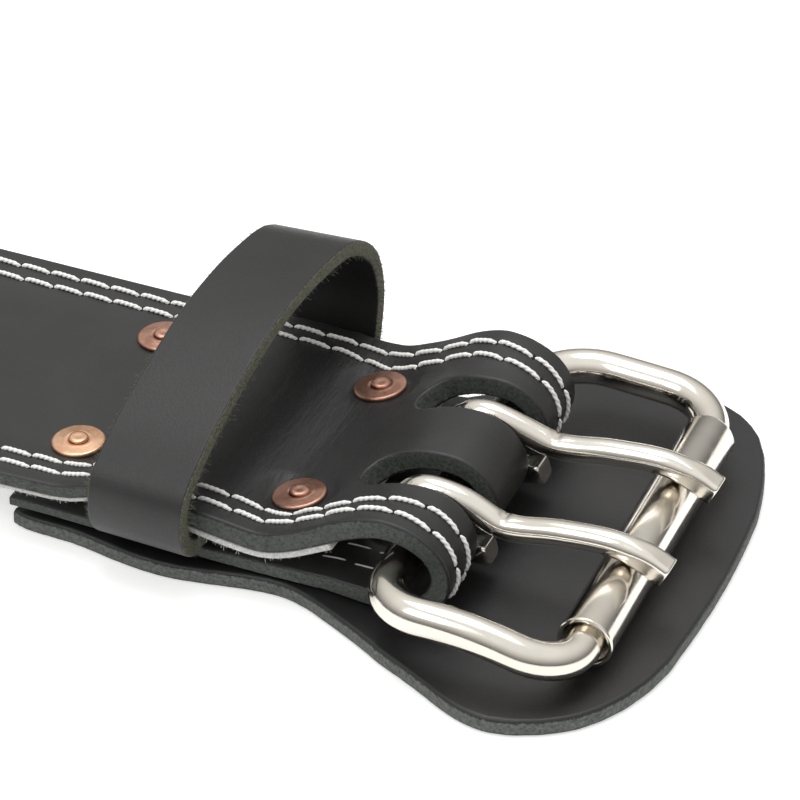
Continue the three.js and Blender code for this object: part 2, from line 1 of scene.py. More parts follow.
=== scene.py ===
"""Looks of a leather weightlifting belt, lying flat, seen at its roller buckle.

Lengths named here are millimetres, and MM turns them into the frame's metres.
X is measured from the buckle's back bar towards its front, and Y from the line
midway between the rivets; ORIGIN moves such points to their place in the frame.
"""
import json
import math

import bmesh
import bpy
import numpy as np
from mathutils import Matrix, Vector


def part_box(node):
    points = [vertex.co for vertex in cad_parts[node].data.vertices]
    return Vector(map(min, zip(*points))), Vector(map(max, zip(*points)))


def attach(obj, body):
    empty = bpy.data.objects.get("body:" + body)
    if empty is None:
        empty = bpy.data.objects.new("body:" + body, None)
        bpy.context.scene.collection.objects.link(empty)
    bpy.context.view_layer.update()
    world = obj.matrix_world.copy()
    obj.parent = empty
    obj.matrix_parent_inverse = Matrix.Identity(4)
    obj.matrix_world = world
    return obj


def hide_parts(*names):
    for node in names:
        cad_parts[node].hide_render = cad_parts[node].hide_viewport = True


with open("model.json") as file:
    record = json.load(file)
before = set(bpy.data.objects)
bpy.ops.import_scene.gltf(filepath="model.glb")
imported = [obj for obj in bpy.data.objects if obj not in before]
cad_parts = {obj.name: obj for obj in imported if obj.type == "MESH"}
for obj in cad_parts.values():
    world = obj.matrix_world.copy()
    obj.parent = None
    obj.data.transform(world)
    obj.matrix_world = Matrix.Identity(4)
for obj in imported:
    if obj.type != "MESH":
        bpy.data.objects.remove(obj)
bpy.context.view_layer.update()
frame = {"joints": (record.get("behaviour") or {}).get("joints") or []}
MM = 0.001

# Places on the buckle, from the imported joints
hinge = {joint["name"]: [c / MM for c in joint["pos_m"]] for joint in frame["joints"]}
BAR_X, BAR_Y, BAR_Z = hinge["frame_swing"]
FRAME_LENGTH = hinge["roller_spin"][0] - BAR_X
FRAME_DROP = BAR_Z - hinge["roller_spin"][2]
BUCKLE_SHIFT = -1.4
ORIGIN = np.array([BAR_X, BAR_Y - BUCKLE_SHIFT, 0.0])
NEAR_PRONG_Y = hinge["near_prong_swing"][1] - ORIGIN[1]
FAR_PRONG_Y = hinge["far_prong_swing"][1] - ORIGIN[1]

# Camera, solved from the photograph, from the back bar at the table
CAMERA_FROM_BAR = (255.4, -637.8, 497.7)
CAMERA_AZIMUTH = 22.8
CAMERA_ELEVATION = 34.32
CAMERA_LENS = 213.0

# Lengths along the belt
TIP_REACH = ORIGIN[0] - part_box("belt_strap")[0][0] / MM
PAD_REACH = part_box("buckle_pad")[1][0] / MM - ORIGIN[0]
PAD_TAIL = 75.6
BACK_RIVET_REACH = 67.8
FRONT_RIVET_REACH = 24.2
LOOP_REACH = 44.8
SLOT_REACH = 13.2
LINING_END = 13.5
HUMP_REACH = 2.5
NARROW_TO = 14.0

# Widths across the belt
STRAP_WIDTH = 64.0
BACK_WIDTH = 101.6
RETURN_WIDTH = 61.0
PAD_NEAR = 52.4
PAD_FAR = 53.4
RIVET_SPACING = 36.6

# Leather and lining
STRAP_THICKNESS = 4.0
FOLD_THICKNESS = 3.7
RETURN_THICKNESS = 2.9
RETURN_LOOP_THICKNESS = 2.4
RETURN_END_THICKNESS = 2.0
LINING_THICKNESS = 1.2
PAD_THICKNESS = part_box("buckle_pad")[1][2] / MM
LOOP_THICKNESS = 3.0
LOOP_WIDTH = 18.6
LOOP_CLEARANCE = 3.2
LOOP_HEIGHT = 31.7
LOOP_SHIFT = 0.7
LOOP_SKEW_DEG = 3.6
LOOP_SAG = 1.6
LOOP_LEAN = 1.0
LOOP_TAIL_MARGIN = 2.8
LOOP_NOSE_MARGIN = 0.9
GAP = 0.3
SNUG = 0.04
FRONT_LIFT = 0.4
LOOP_LIFT = 0.8
BACK_LIFT = 1.8

# Where the belt widens to the back and narrows to the tongue
BUCKLE_SECTION = 110.0
EDGE_SPREAD = 0.0148
FLARE_LENGTH = 220.0
TONGUE_LENGTH = 270.0
TAPER_LENGTH = 170.0
RAMP_HEAD = 112.0
RAMP_LENGTH = 140.0
TONGUE_CORNER = 26.0

# Holes for the prongs, and the slots that the prongs stand in
HOLE_ROWS = 8
HOLE_PITCH = 25.4
HOLE_RADIUS = 3.2
FIRST_HOLE = 55.0
PRONG_SIDE = 12.7
SLOT_WIDTH = 10.0
SLOT_SHIFT = -0.3

# Buckle
WIRE_RADIUS = 3.4
# Painted shade on the back bar where the fold hides it: near-black steel within this distance along the belt
# and this distance across it from the bar's middle
PAINTED_SHADE_WIDTH = 4.5
PAINTED_SHADE_REACH = 25.0
FRAME_WIDTH = 84.6
FRONT_SKEW = 0.3
FRONT_CANT = 1.1
NEAR_BOW = 2.4
FAR_BOW = 0.4
NEAR_BACK_CORNER = 9.7
NEAR_FRONT_CORNER = 8.8
FAR_BACK_CORNER = 12.5
FAR_FRONT_CORNER = 11.5
PRONG_RADIUS = 2.45
PRONG_OVERHANG = 8.3
PRONG_DROOP = 3.2
CREASE_REACH = 13.2
TAIL_REACH = 11.0
ROLLER_RADIUS = 4.75
ROLLER_SWELL = 0.3
ROLLER_WALL = 0.75
ROLLER_LENGTH = 64.0
BAR_TO_FOLD = 1.1
FOLD_NOSE = 8.0
FOLD_SHEAR = 0.7
FOLD_FADE = 12.0

# Rivets
SHANK_RADIUS = 1.6
HEAD_RADIUS = 5.0
HEAD_THICKNESS = 1.0
BURR_RADIUS = 4.95
BURR_LIFT = 0.1
PRESSED_RADIUS = 5.4
PRESSED_FADE = 2.4

# Stitches
OUTER_INSET = 3.9
INNER_INSET = 7.6
STITCH_PITCH = 6.2
STITCH_SLANT = 0.2
FINE_STITCHES_FROM = -125
RETURN_INSET = 2.3
NAP_REACH = 0.14
FIBRE_RADIUS = 0.035

TABLE_UNDERSIDE = LINING_THICKNESS + GAP
RETURN_BASE = PAD_THICKNESS + GAP
LINED = GAP + LINING_THICKNESS + GAP
FRONT_TOP = PAD_THICKNESS + FRONT_LIFT + RETURN_THICKNESS
LOOP_RETURN_TOP = PAD_THICKNESS + LOOP_LIFT + RETURN_LOOP_THICKNESS
BACK_TOP = PAD_THICKNESS + BACK_LIFT + RETURN_END_THICKNESS
STACK_UNDERSIDE = BACK_TOP + LINED
LOOP_BASE = LOOP_RETURN_TOP + GAP
HUMP_UNDERSIDE = BAR_Z + WIRE_RADIUS + BAR_TO_FOLD
LOOP_TAIL = LOOP_REACH + LOOP_WIDTH / 2 + LOOP_TAIL_MARGIN
LOOP_NOSE = LOOP_REACH - LOOP_WIDTH / 2 - LOOP_NOSE_MARGIN


def smoothstep(t):
    t = np.clip(t, 0.0, 1.0)
    return t * t * (3 - 2 * t)


def between(rows, x):
    """Value between rows of (x, value), level at each row."""
    x = np.atleast_1d(np.asarray(x, float))
    xs = np.array([row[0] for row in rows])
    zs = np.array([row[1] for row in rows])
    i = np.clip(np.searchsorted(xs, x) - 1, 0, len(xs) - 2)
    t = smoothstep((x - xs[i]) / (xs[i + 1] - xs[i]))
    return zs[i] + (zs[i + 1] - zs[i]) * t


def unit(vectors):
    return vectors / np.linalg.norm(vectors, axis=-1, keepdims=True)


def lengths_along(points):
    """Length from the first point to each point of a path."""
    return np.concatenate([[0], np.cumsum(np.linalg.norm(np.diff(points, axis=0), axis=1))])


# Height of the strap's underside: where it leaves the table, and from the back
# rivets over the keeper loop's base and through the dip at the front rivets
RAMP = [(-(RAMP_HEAD + RAMP_LENGTH), TABLE_UNDERSIDE), (-RAMP_HEAD, STACK_UNDERSIDE)]
CLIMB = [
    (-64, STACK_UNDERSIDE), (-57, 11.3), (-42, 11.3), (-35.5, 10.9), (-27.5, 8.95), (-24, 9.2),
    (-20.3, 10.6), (-14.7, 13.1), (-9.3, 16.1), (-5, 17.7), (-HUMP_REACH, HUMP_UNDERSIDE),
]
CLIMB_FROM = -80
CLIMB_X = np.arange(CLIMB_FROM - 10, 4, 0.25)


def eased(values, width):
    """Values at even steps, smoothed over a width in steps."""
    reach = int(3 * width)
    weight = np.exp(-0.5 * (np.arange(-reach, reach + 1) / width) ** 2)
    return np.convolve(np.pad(values, reach, "edge"), weight / weight.sum(), "valid")


CLIMB_Z = eased(np.interp(CLIMB_X, *np.array(CLIMB).T), 6)


def underside(x):
    """Height of the strap's underside at a place along the belt."""
    x = np.atleast_1d(np.asarray(x, float))
    return np.where(x < CLIMB_FROM, between(RAMP, x), np.interp(x, CLIMB_X, CLIMB_Z))


RETURN_BASES = [
    (-PAD_TAIL, PAD_THICKNESS + BACK_LIFT),
    (-LOOP_REACH, PAD_THICKNESS + LOOP_LIFT),
    (-FRONT_RIVET_REACH, PAD_THICKNESS + FRONT_LIFT),
    (0, RETURN_BASE),
]
RETURN_TOPS = [
    (-PAD_TAIL, BACK_TOP),
    (-LOOP_TAIL, LOOP_RETURN_TOP),
    (-LOOP_NOSE, LOOP_RETURN_TOP),
    (-FRONT_RIVET_REACH, FRONT_TOP),
    (0, RETURN_BASE + FOLD_THICKNESS),
]

# How far the strap's long edges spring up beside the line of the rivets, and
# how much thinner its near edge is, along the belt
CURL_FROM = 19.0
NEAR_CURL = [
    (-260, 0), (-125, 0.9), (-46, 0.9), (-36, 0.5), (-27, 1.0), (-20, 1.1), (-13, 1.4),
    (-5, 1.2), (4, 0.2),
]
FAR_CURL = [
    (-260, 0), (-125, 0.9), (-58, 0.5), (-47, -0.6), (-38, -0.6), (-33, 0.0), (-26, 1.0),
    (-19, 1.2), (-12, 1.4), (-5, 1.2), (4, 0.2),
]
NEAR_SKIVE = [(-260, 0), (-125, 1.5), (-58, 1.5), (-46, 0.6), (-34, 0)]


class Line:
    """A strip's middle line in the XZ plane, by its length s, with a thickness."""

    def __init__(self, x, z, thickness, zero):
        self.x, self.z, self.t = (np.asarray(v, float) for v in (x, z, thickness))
        self.s = lengths_along(np.stack([self.x, self.z], axis=1))
        self.s -= self.s[zero]
        tx, tz = np.gradient(self.x, self.s), np.gradient(self.z, self.s)
        size = np.hypot(tx, tz)
        self.nx, self.nz = -tz / size, tx / size

    def bend(self, flat):
        """Points (s, y, h) of the flat pattern, h a share of the thickness, as bent."""
        s, y, h = flat[:, 0], flat[:, 1], flat[:, 2]
        x, z, nx, nz, t = (np.interp(s, self.s, v) for v in (self.x, self.z, self.nx, self.nz, self.t))
        return np.stack([x + nx * h * t, y, z + nz * h * t], axis=1)


def strap_line():
    run_x = np.concatenate([np.arange(-TIP_REACH - 6, -260, 4.0), np.arange(-260, -BAR_TO_FOLD / 2, 0.5)])
    run_z = underside(run_x) + STRAP_THICKNESS / 2
    top = HUMP_UNDERSIDE + STRAP_THICKNESS / 2
    bottom = RETURN_BASE + FOLD_THICKNESS / 2
    steps = 90
    angle = np.linspace(math.pi / 2, -math.pi / 2, steps)
    fold_x = -BAR_TO_FOLD / 2 + FOLD_NOSE * np.cos(angle)
    fold_z = (top + bottom) / 2 + (top - bottom) / 2 * np.sin(angle)
    fold_t = FOLD_THICKNESS + (STRAP_THICKNESS - FOLD_THICKNESS) * smoothstep(np.linspace(1, -2, steps))
    back_x = np.arange(-BAR_TO_FOLD / 2 - 0.5, -PAD_TAIL - 0.01, -0.5)
    back_top = between(RETURN_TOPS, back_x)
    back_base = between(RETURN_BASES, back_x)
    return Line(
        np.concatenate([run_x, fold_x, back_x]),
        np.concatenate([run_z, fold_z, (back_top + back_base) / 2]),
        np.concatenate([np.full(len(run_x), STRAP_THICKNESS), fold_t, back_top - back_base]),
        len(run_x),
    )


strap = strap_line()
RUN_END = np.searchsorted(strap.s, 0)


def run_s(x):
    """Pattern length at a place on the upper run."""
    return np.interp(x, strap.x[:RUN_END], strap.s[:RUN_END])


def back_s(x):
    """Pattern length at a place on the return."""
    turn = np.argmax(strap.x)
    return np.interp(-np.asarray(x, float), -strap.x[turn:], strap.s[turn:])


def half_width(x):
    """Half the belt's width at a place along it."""
    reach = -np.asarray(x, float)
    section = STRAP_WIDTH / 2 + EDGE_SPREAD * np.clip(reach, 0, BUCKLE_SECTION)
    flare = smoothstep((reach - BUCKLE_SECTION) / FLARE_LENGTH)
    taper = smoothstep((reach - (TIP_REACH - TONGUE_LENGTH - TAPER_LENGTH)) / TAPER_LENGTH)
    return section + (BACK_WIDTH / 2 - section) * flare + (STRAP_WIDTH - BACK_WIDTH) / 2 * taper


RIVETS = [
    (-reach, side * RIVET_SPACING / 2)
    for reach in (FRONT_RIVET_REACH, BACK_RIVET_REACH)
    for side in (-1, 1)
]


def burr_seat(x):
    """Height and slope of the leather under a burr."""
    ends = underside([x - BURR_RADIUS, x + BURR_RADIUS])
    height = float(underside(x)[0]) + STRAP_THICKNESS + BURR_LIFT
    return height, (ends[1] - ends[0]) / (2 * BURR_RADIUS)


def on_strap(flat):
    """Points (s, y, h) of the strap's flat pattern on the strap as it lies."""
    points = strap.bend(flat)
    x, y, h = points[:, 0], flat[:, 1], flat[:, 2]
    upper = smoothstep(1 - flat[:, 0] / FOLD_FADE)
    beside = smoothstep((np.abs(y) - CURL_FROM) / (half_width(x) - CURL_FROM))
    curl = np.where(y < 0, between(NEAR_CURL, x), between(FAR_CURL, x))
    skive = np.where(y < 0, between(NEAR_SKIVE, x), 0.0)
    points[:, 2] += upper * beside * (curl + skive * (0.5 - h))
    for rivet_x, rivet_y in RIVETS:
        height, slope = burr_seat(rivet_x)
        away = np.hypot(x - rivet_x, y - rivet_y)
        pressed = 1 - smoothstep((away - PRESSED_RADIUS) / PRESSED_FADE)
        pressed *= np.clip(h + 0.5, 0, 1) * (flat[:, 0] < 0)
        points[:, 2] -= pressed * np.maximum(0, points[:, 2] - height - slope * (x - rivet_x))
    points[:, 0] -= FOLD_SHEAR * (2 * y / STRAP_WIDTH) * smoothstep((x + NARROW_TO) / FOLD_FADE)
    return points


def edge_line(inset, start):
    """The belt's near edge, round the tongue and back along the far edge, moved inwards."""
    tongue = TONGUE_LENGTH - TIP_REACH
    xs = np.concatenate([
        np.arange(start, -BUCKLE_SECTION, -8.0),
        np.arange(-BUCKLE_SECTION, tongue, -8.0),
        np.arange(tongue, TONGUE_CORNER - TIP_REACH, -12.0),
    ])
    near = np.stack([xs, inset - half_width(xs)], axis=1)
    angle = np.linspace(-math.pi / 2, math.pi / 2, 37)
    tip = np.stack([
        TONGUE_CORNER - TIP_REACH - (TONGUE_CORNER - inset) * np.cos(angle),
        (STRAP_WIDTH / 2 - inset) * np.sin(angle),
    ], axis=1)
    return np.concatenate([near, tip, near[::-1] * (1, -1)])


def circle(x, y, radius, count):
    angle = np.linspace(0, 2 * math.pi, count, endpoint=False)
    return (x, y) + radius * np.stack([np.cos(angle), np.sin(angle)], axis=1)


def stadium(x0, x1, y, radius, count=24):
    """A slot's outline, with round ends, from x0 to x1."""
    angle = np.linspace(-math.pi / 2, math.pi / 2, count)
    end = radius * np.stack([np.cos(angle), np.sin(angle)], axis=1)
    return np.concatenate([(x1 - radius, y) + end, (x0 + radius, y) - end])


def new_object(name, mesh, body, stands_for=()):
    obj = bpy.data.objects.new(name, mesh)
    bpy.context.scene.collection.objects.link(obj)
    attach(obj, body)
    if stands_for:
        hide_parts(*stands_for)
    return obj


def mesh_from(name, points, faces):
    """A smooth mesh from points in millimetres."""
    mesh = bpy.data.meshes.new(name)
    mesh.from_pydata(((np.asarray(points) + ORIGIN) * MM).tolist(), [], [list(f) for f in faces])
    mesh.polygons.foreach_set("use_smooth", [True] * len(mesh.polygons))
    return mesh


def turned_out(mesh):
    """The mesh with doubled points joined and its faces pointing out."""
    bm = bmesh.new()
    bm.from_mesh(mesh)
    bmesh.ops.remove_doubles(bm, verts=bm.verts, dist=1e-7)
    bmesh.ops.recalc_face_normals(bm, faces=bm.faces)
    bm.to_mesh(mesh)
    bm.free()
    return mesh


def rings_round(middle, across, above, radius, sides):
    """A ring of points round each point of a line, across and above being its directions."""
    angle = 2 * math.pi * np.arange(sides)[:, None] / sides
    around = across[..., None, :] * np.cos(angle) + above[..., None, :] * np.sin(angle)
    return middle[..., None, :] + radius * around


def ring_faces(rings, sides, closed=False):
    """Quads between rings of points, each ring with the same number of sides."""
    last = rings if closed else rings - 1
    return [
        (i * sides + k, i * sides + (k + 1) % sides,
         (i + 1) % rings * sides + (k + 1) % sides, (i + 1) % rings * sides + k)
        for i in range(last)
        for k in range(sides)
    ]


def flat_plate(outline, holes, thickness, rounding):
    """A flat pattern with holes and rounded edges, as a mesh of points (s, y, h)."""
    curve = bpy.data.curves.new("pattern", "CURVE")
    curve.dimensions = "2D"
    curve.fill_mode = "BOTH"
    curve.bevel_depth = rounding
    curve.bevel_resolution = 2
    curve.extrude = thickness / 2 - rounding
    curve.offset = -rounding
    for loop in [outline, *holes]:
        spline = curve.splines.new("POLY")
        spline.points.add(len(loop) - 1)
        co = np.zeros((len(loop), 4))
        co[:, :2] = loop
        co[:, 3] = 1
        spline.points.foreach_set("co", co.ravel())
        spline.use_cyclic_u = True
    obj = bpy.data.objects.new("pattern", curve)
    bpy.context.scene.collection.objects.link(obj)
    depsgraph = bpy.context.evaluated_depsgraph_get()
    mesh = bpy.data.meshes.new_from_object(obj.evaluated_get(depsgraph))
    bpy.data.objects.remove(obj)
    bpy.data.curves.remove(curve)
    return mesh


def sliced(mesh, *cuts):
    """The mesh cut into strips at places along X, then along Y."""
    bm = bmesh.new()
    bm.from_mesh(mesh)
    bmesh.ops.remove_doubles(bm, verts=bm.verts, dist=1e-4)
    for axis, places in enumerate(cuts):
        normal = [0, 0, 0]
        normal[axis] = 1
        for cut in places:
            place = [0, 0, 0]
            place[axis] = cut
            everything = [*bm.verts, *bm.edges, *bm.faces]
            bmesh.ops.bisect_plane(bm, geom=everything, dist=1e-5, plane_co=place, plane_no=normal)
    bmesh.ops.recalc_face_normals(bm, faces=bm.faces)
    bm.to_mesh(mesh)
    bm.free()
    return mesh


def keep_pattern(mesh, flat, raw):
    """Keeps each point's place on the flat pattern, and how much it is a cut edge."""
    place = mesh.attributes.new("flat", "FLOAT_VECTOR", "POINT")
    place.data.foreach_set("vector", np.asarray(flat, float).ravel())
    cut = mesh.attributes.new("raw", "FLOAT", "POINT")
    cut.data.foreach_set("value", np.asarray(raw, float))


def weighted(obj):
    """Normals that keep broad faces even beside small rounded edges."""
    modifier = obj.modifiers.new("even_normals", "WEIGHTED_NORMAL")
    modifier.weight = 80
    return obj


def bent_plate(names, outline, holes, thickness, rounding, cuts, place):
    """A flat pattern cut at its cuts and bent by place(flat), as a piece of the scene."""
    name, slot, node = names
    mesh = sliced(flat_plate(outline, holes, thickness, rounding), *cuts)
    flat = np.empty(len(mesh.vertices) * 3)
    mesh.vertices.foreach_get("co", flat)
    flat = flat.reshape(-1, 3)
    raw = 1 - np.clip((np.abs(flat[:, 2]) - (thickness / 2 - rounding)) / (0.6 * rounding), 0, 1)
    keep_pattern(mesh, flat, raw)
    share = flat / (1, 1, thickness)
    mesh.vertices.foreach_set("co", ((place(share) + ORIGIN) * MM).ravel())
    mesh.name = name
    mesh.polygons.foreach_set("use_smooth", [True] * len(mesh.polygons))
    mesh.update()
    return weighted(new_object(name, mesh, "root", [node]))


PRONG_HOLES = [
    (-(TIP_REACH - FIRST_HOLE) + row * HOLE_PITCH, side * PRONG_SIDE)
    for row in range(HOLE_ROWS)
    for side in (-1, 1)
]
# Where the strap is cut into strips so that it bends: along the back, up the
# ramp, by the buckle and across
BACK_CUTS = (-1024, -258)
RAMP_CUTS = (-256, -64)
BUCKLE_CUTS = (-63, -12)
CURL_CUTS = [side * y for side in (-1, 1) for y in (0.01, 12.5, 15, 19, 22.5, 25, 27.5, 30)]


def belt_holes():
    holes = [circle(run_s(x), y, SHANK_RADIUS + GAP, 16) for x, y in RIVETS]
    return holes + [circle(run_s(x), y, HOLE_RADIUS, 28) for x, y in PRONG_HOLES]


def run_cuts(ends, step):
    return np.arange(*run_s(ends), step)


def make_strap():
    edge = edge_line(0.0, -2.0)
    outline = np.stack([run_s(edge[:, 0]), edge[:, 1]], axis=1)
    end = strap.s[-1]
    wide, narrow = STRAP_WIDTH / 2, RETURN_WIDTH / 2
    return_far = [(6, wide), (back_s(-2), wide), (back_s(-NARROW_TO), narrow), (end, narrow)]
    return_near = [(s, -y) for s, y in return_far[::-1]]
    outline = np.concatenate([outline, return_far, return_near])
    holes = belt_holes()
    holes += [circle(back_s(x), y, SHANK_RADIUS + GAP, 16) for x, y in RIVETS]
    first, last = run_s(-SLOT_REACH), back_s(-SLOT_REACH)
    holes += [stadium(first, last, side * PRONG_SIDE + SLOT_SHIFT, SLOT_WIDTH / 2) for side in (-1, 1)]
    along = np.concatenate([
        run_cuts(BACK_CUTS, 16.0),
        run_cuts(RAMP_CUTS, 6.0),
        np.arange(run_s(BUCKLE_CUTS[0]), back_s(-10), 1.2),
        np.arange(back_s(-10), end, 4.0),
    ])
    names = ("strap_leather", "black_leather", "belt_strap")
    return bent_plate(names, outline, holes, STRAP_THICKNESS, 0.55, (along, CURL_CUTS), on_strap)


LINING_MIDDLE = -0.5 - (SNUG + LINING_THICKNESS / 2) / STRAP_THICKNESS


def on_lining(flat):
    """Points (s, y, h) of the lining's flat pattern under the strap."""
    share = flat * (1, 1, LINING_THICKNESS / STRAP_THICKNESS) + (0, 0, LINING_MIDDLE)
    return on_strap(share)


def make_lining():
    edge = edge_line(0.1, -LINING_END)
    outline = np.stack([run_s(edge[:, 0]), edge[:, 1]], axis=1)
    along = np.concatenate([run_cuts(BACK_CUTS, 9.0), run_cuts(RAMP_CUTS, 5.0), run_cuts(BUCKLE_CUTS, 0.9)])
    names = ("suede_lining", "pale_suede", "lining")
    return bent_plate(names, outline, belt_holes(), LINING_THICKNESS, 0.3, (along, CURL_CUTS), on_lining)


# Outline of the pad: along is a share of its length from the tail, near and far
# are shares of its reach to the near and the far side
PAD_ROWS = [
    (0, 0.557, 0.547), (0.02, 0.572, 0.565), (0.1, 0.588, 0.58), (0.245, 0.64, 0.605),
    (0.43, 0.592, 0.585), (0.52, 0.677, 0.72), (0.655, 0.851, 0.93), (0.8, 1, 1.004),
    (0.895, 0.922, 0.918), (0.945, 0.798, 0.762), (0.985, 0.573, 0.45), (0.997, 0.3, 0.15),
]


def spline(points, count, closed=False):
    """A centripetal spline through points of any dimension."""
    points = np.asarray(points, float)
    if closed:
        ring = np.concatenate([points[-1:], points, points[:2]])
    else:
        ring = np.concatenate([[2 * points[0] - points[1]], points, [2 * points[-1] - points[-2]]])
    segments = len(ring) - 3
    out = []
    for u in np.linspace(0, segments, count, endpoint=not closed):
        i = min(int(u), segments - 1)
        four = ring[i:i + 4]
        chords = np.maximum(np.linalg.norm(np.diff(four, axis=0), axis=1), 1e-6)
        k = np.concatenate([[0], np.cumsum(chords ** 0.5)])
        t = k[1] + (k[2] - k[1]) * (u - i)

        def mix(a, b, first, last):
            return (k[last] - t) / (k[last] - k[first]) * a + (t - k[first]) / (k[last] - k[first]) * b

        before, within, after = (mix(four[j], four[j + 1], j, j + 1) for j in range(3))
        out.append(mix(mix(before, within, 0, 2), mix(within, after, 1, 3), 1, 2))
    return np.array(out)


def rough_cut(outline, amount, seed):
    """An outline with the small unevenness of a hand-cut edge."""
    rng = np.random.default_rng(seed)
    jitter = rng.normal(0, 1, len(outline))
    smooth = np.convolve(np.concatenate([jitter[-4:], jitter, jitter[:4]]), np.ones(5) / 5, "same")[4:-4]
    ahead = unit(np.roll(outline, -1, 0) - np.roll(outline, 1, 0))
    out = np.stack([ahead[:, 1], -ahead[:, 0]], axis=1)
    return outline + out * (smooth * amount)[:, None]


def make_pad():
    length = PAD_REACH + PAD_TAIL
    near = [(along * length - PAD_TAIL, -share * PAD_NEAR) for along, share, _ in PAD_ROWS]
    far = [(along * length - PAD_TAIL, share * PAD_FAR) for along, _, share in PAD_ROWS[::-1]]
    outline = rough_cut(spline([*near, (PAD_REACH, BUCKLE_SHIFT), *far], 460), 0.1, 3)
    holes = [circle(x, y, SHANK_RADIUS + GAP, 16) for x, y in RIVETS]
    cuts = ([-60.3, -30.2, 0.1, 25.3], [-20.1, 20.2])

    def place(flat):
        return np.stack([flat[:, 0], flat[:, 1], (flat[:, 2] + 0.5) * PAD_THICKNESS], axis=1)

    names = ("pad_leather", "black_leather", "buckle_pad")
    return bent_plate(names, outline, holes, PAD_THICKNESS, 0.8, cuts, place)


# Outer edge of the keeper loop seen along the belt: side as a share of its half
# width, rise as a share of its height
LOOP_ROWS = [
    (-0.88, 0), (-0.97, 0.1), (-1, 0.26), (-0.965, 0.42), (-0.82, 0.575), (-0.47, 0.79),
    (-0.05, 0.955), (0.4, 1), (0.71, 0.965), (0.92, 0.76), (1, 0.47), (0.975, 0.2),
    (0.94, 0.08), (0.87, 0), (0.6, 0), (-0.6, 0),
]


def loop_ring(count):
    """Points (y, z) of the loop's outer line, and the direction inwards at each."""
    half = half_width(-LOOP_REACH) + LOOP_CLEARANCE + LOOP_THICKNESS
    rows = [(side * half + LOOP_SHIFT, LOOP_BASE + rise * LOOP_HEIGHT) for side, rise in LOOP_ROWS]
    outer = spline(rows, count, True)
    outer[:, 1] = np.maximum(outer[:, 1], LOOP_BASE)
    ahead = unit(np.roll(outer, -1, 0) - np.roll(outer, 1, 0))
    return outer, np.stack([ahead[:, 1], -ahead[:, 0]], axis=1)


def on_loop(ring_point, along):
    """A point (y, z) of the loop's section at a place along the belt, as it leans."""
    skew = math.radians(-LOOP_SKEW_DEG)
    y, z = ring_point
    sag = LOOP_SAG * (0.5 - along / LOOP_WIDTH) * smoothstep((z - 18) / 20)
    lean = LOOP_LEAN * smoothstep((y - 12) / 22)
    return (
        -LOOP_REACH + along * math.cos(skew) - y * math.sin(skew) + lean,
        along * math.sin(skew) + y * math.cos(skew),
        z - sag,
    )


def make_loop():
    outer, inward = loop_ring(260)
    rounding = 0.45
    half, thick = LOOP_WIDTH / 2, LOOP_THICKNESS
    section = []
    for corner, (x, depth) in enumerate([(half, 0), (half, thick), (-half, thick), (-half, 0)]):
        centre = (x - math.copysign(rounding, x), depth + (rounding if depth == 0 else -rounding))
        for a in np.linspace(-math.pi / 2, 0, 4) + corner * math.pi / 2:
            section.append((centre[0] + rounding * math.cos(a), centre[1] + rounding * math.sin(a)))
    lengths = lengths_along(outer)
    points, flats, raws = [], [], []
    for i, p in enumerate(outer):
        for x, depth in section:
            points.append(on_loop(p + inward[i] * depth, x))
            flats.append((lengths[i], x, thick / 2 - depth))
            raws.append(float(abs(x) > half - 0.3 * rounding))
    mesh = mesh_from("loop_leather", points, ring_faces(len(outer), len(section), True))
    keep_pattern(mesh, flats, raws)
    return weighted(new_object("loop_leather", turned_out(mesh), "root", ["keeper_loop"]))


def front_bar(y):
    """Place (x, z) of the front bar's middle line at a distance from the buckle's middle."""
    across = 2 * y / FRAME_WIDTH
    return FRAME_LENGTH - FRONT_SKEW * across, BAR_Z - FRAME_DROP + FRONT_CANT * across


def frame_ring():
    """The middle line of the frame's wire: a ring with rounded corners, bowed and canted."""
    half = FRAME_WIDTH / 2
    corners = [
        (NEAR_BACK_CORNER, NEAR_BACK_CORNER - half, NEAR_BACK_CORNER, 12),
        (FRAME_LENGTH - NEAR_FRONT_CORNER, NEAR_FRONT_CORNER - half, NEAR_FRONT_CORNER, 20),
        (FRAME_LENGTH - FAR_FRONT_CORNER, half - FAR_FRONT_CORNER, FAR_FRONT_CORNER, 12),
        (FAR_BACK_CORNER, half - FAR_BACK_CORNER, FAR_BACK_CORNER, 20),
    ]
    quarter = math.pi / 2
    rounds = [
        [(x + r * math.cos(a), y + r * math.sin(a)) for a in np.linspace(k * quarter, (k + 1) * quarter, 18)]
        for k, (x, y, r, _) in enumerate(corners, 2)
    ]
    plan = []
    for arc, onward, (_, _, _, steps) in zip(rounds, rounds[1:] + rounds[:1], corners):
        plan += arc + np.linspace(arc[-1], onward[0], steps + 1)[1:-1].tolist()
    ring = []
    for x, y in plan:
        forward, across = x / FRAME_LENGTH, y / half
        front_x, front_z = front_bar(y)
        bow = (NEAR_BOW * (1 - across) + FAR_BOW * (1 + across)) / 2
        z = BAR_Z + (front_z - BAR_Z) * forward + bow * 4 * forward * (1 - forward)
        ring.append((front_x * forward, y + BUCKLE_SHIFT, z))
    return np.array(ring)


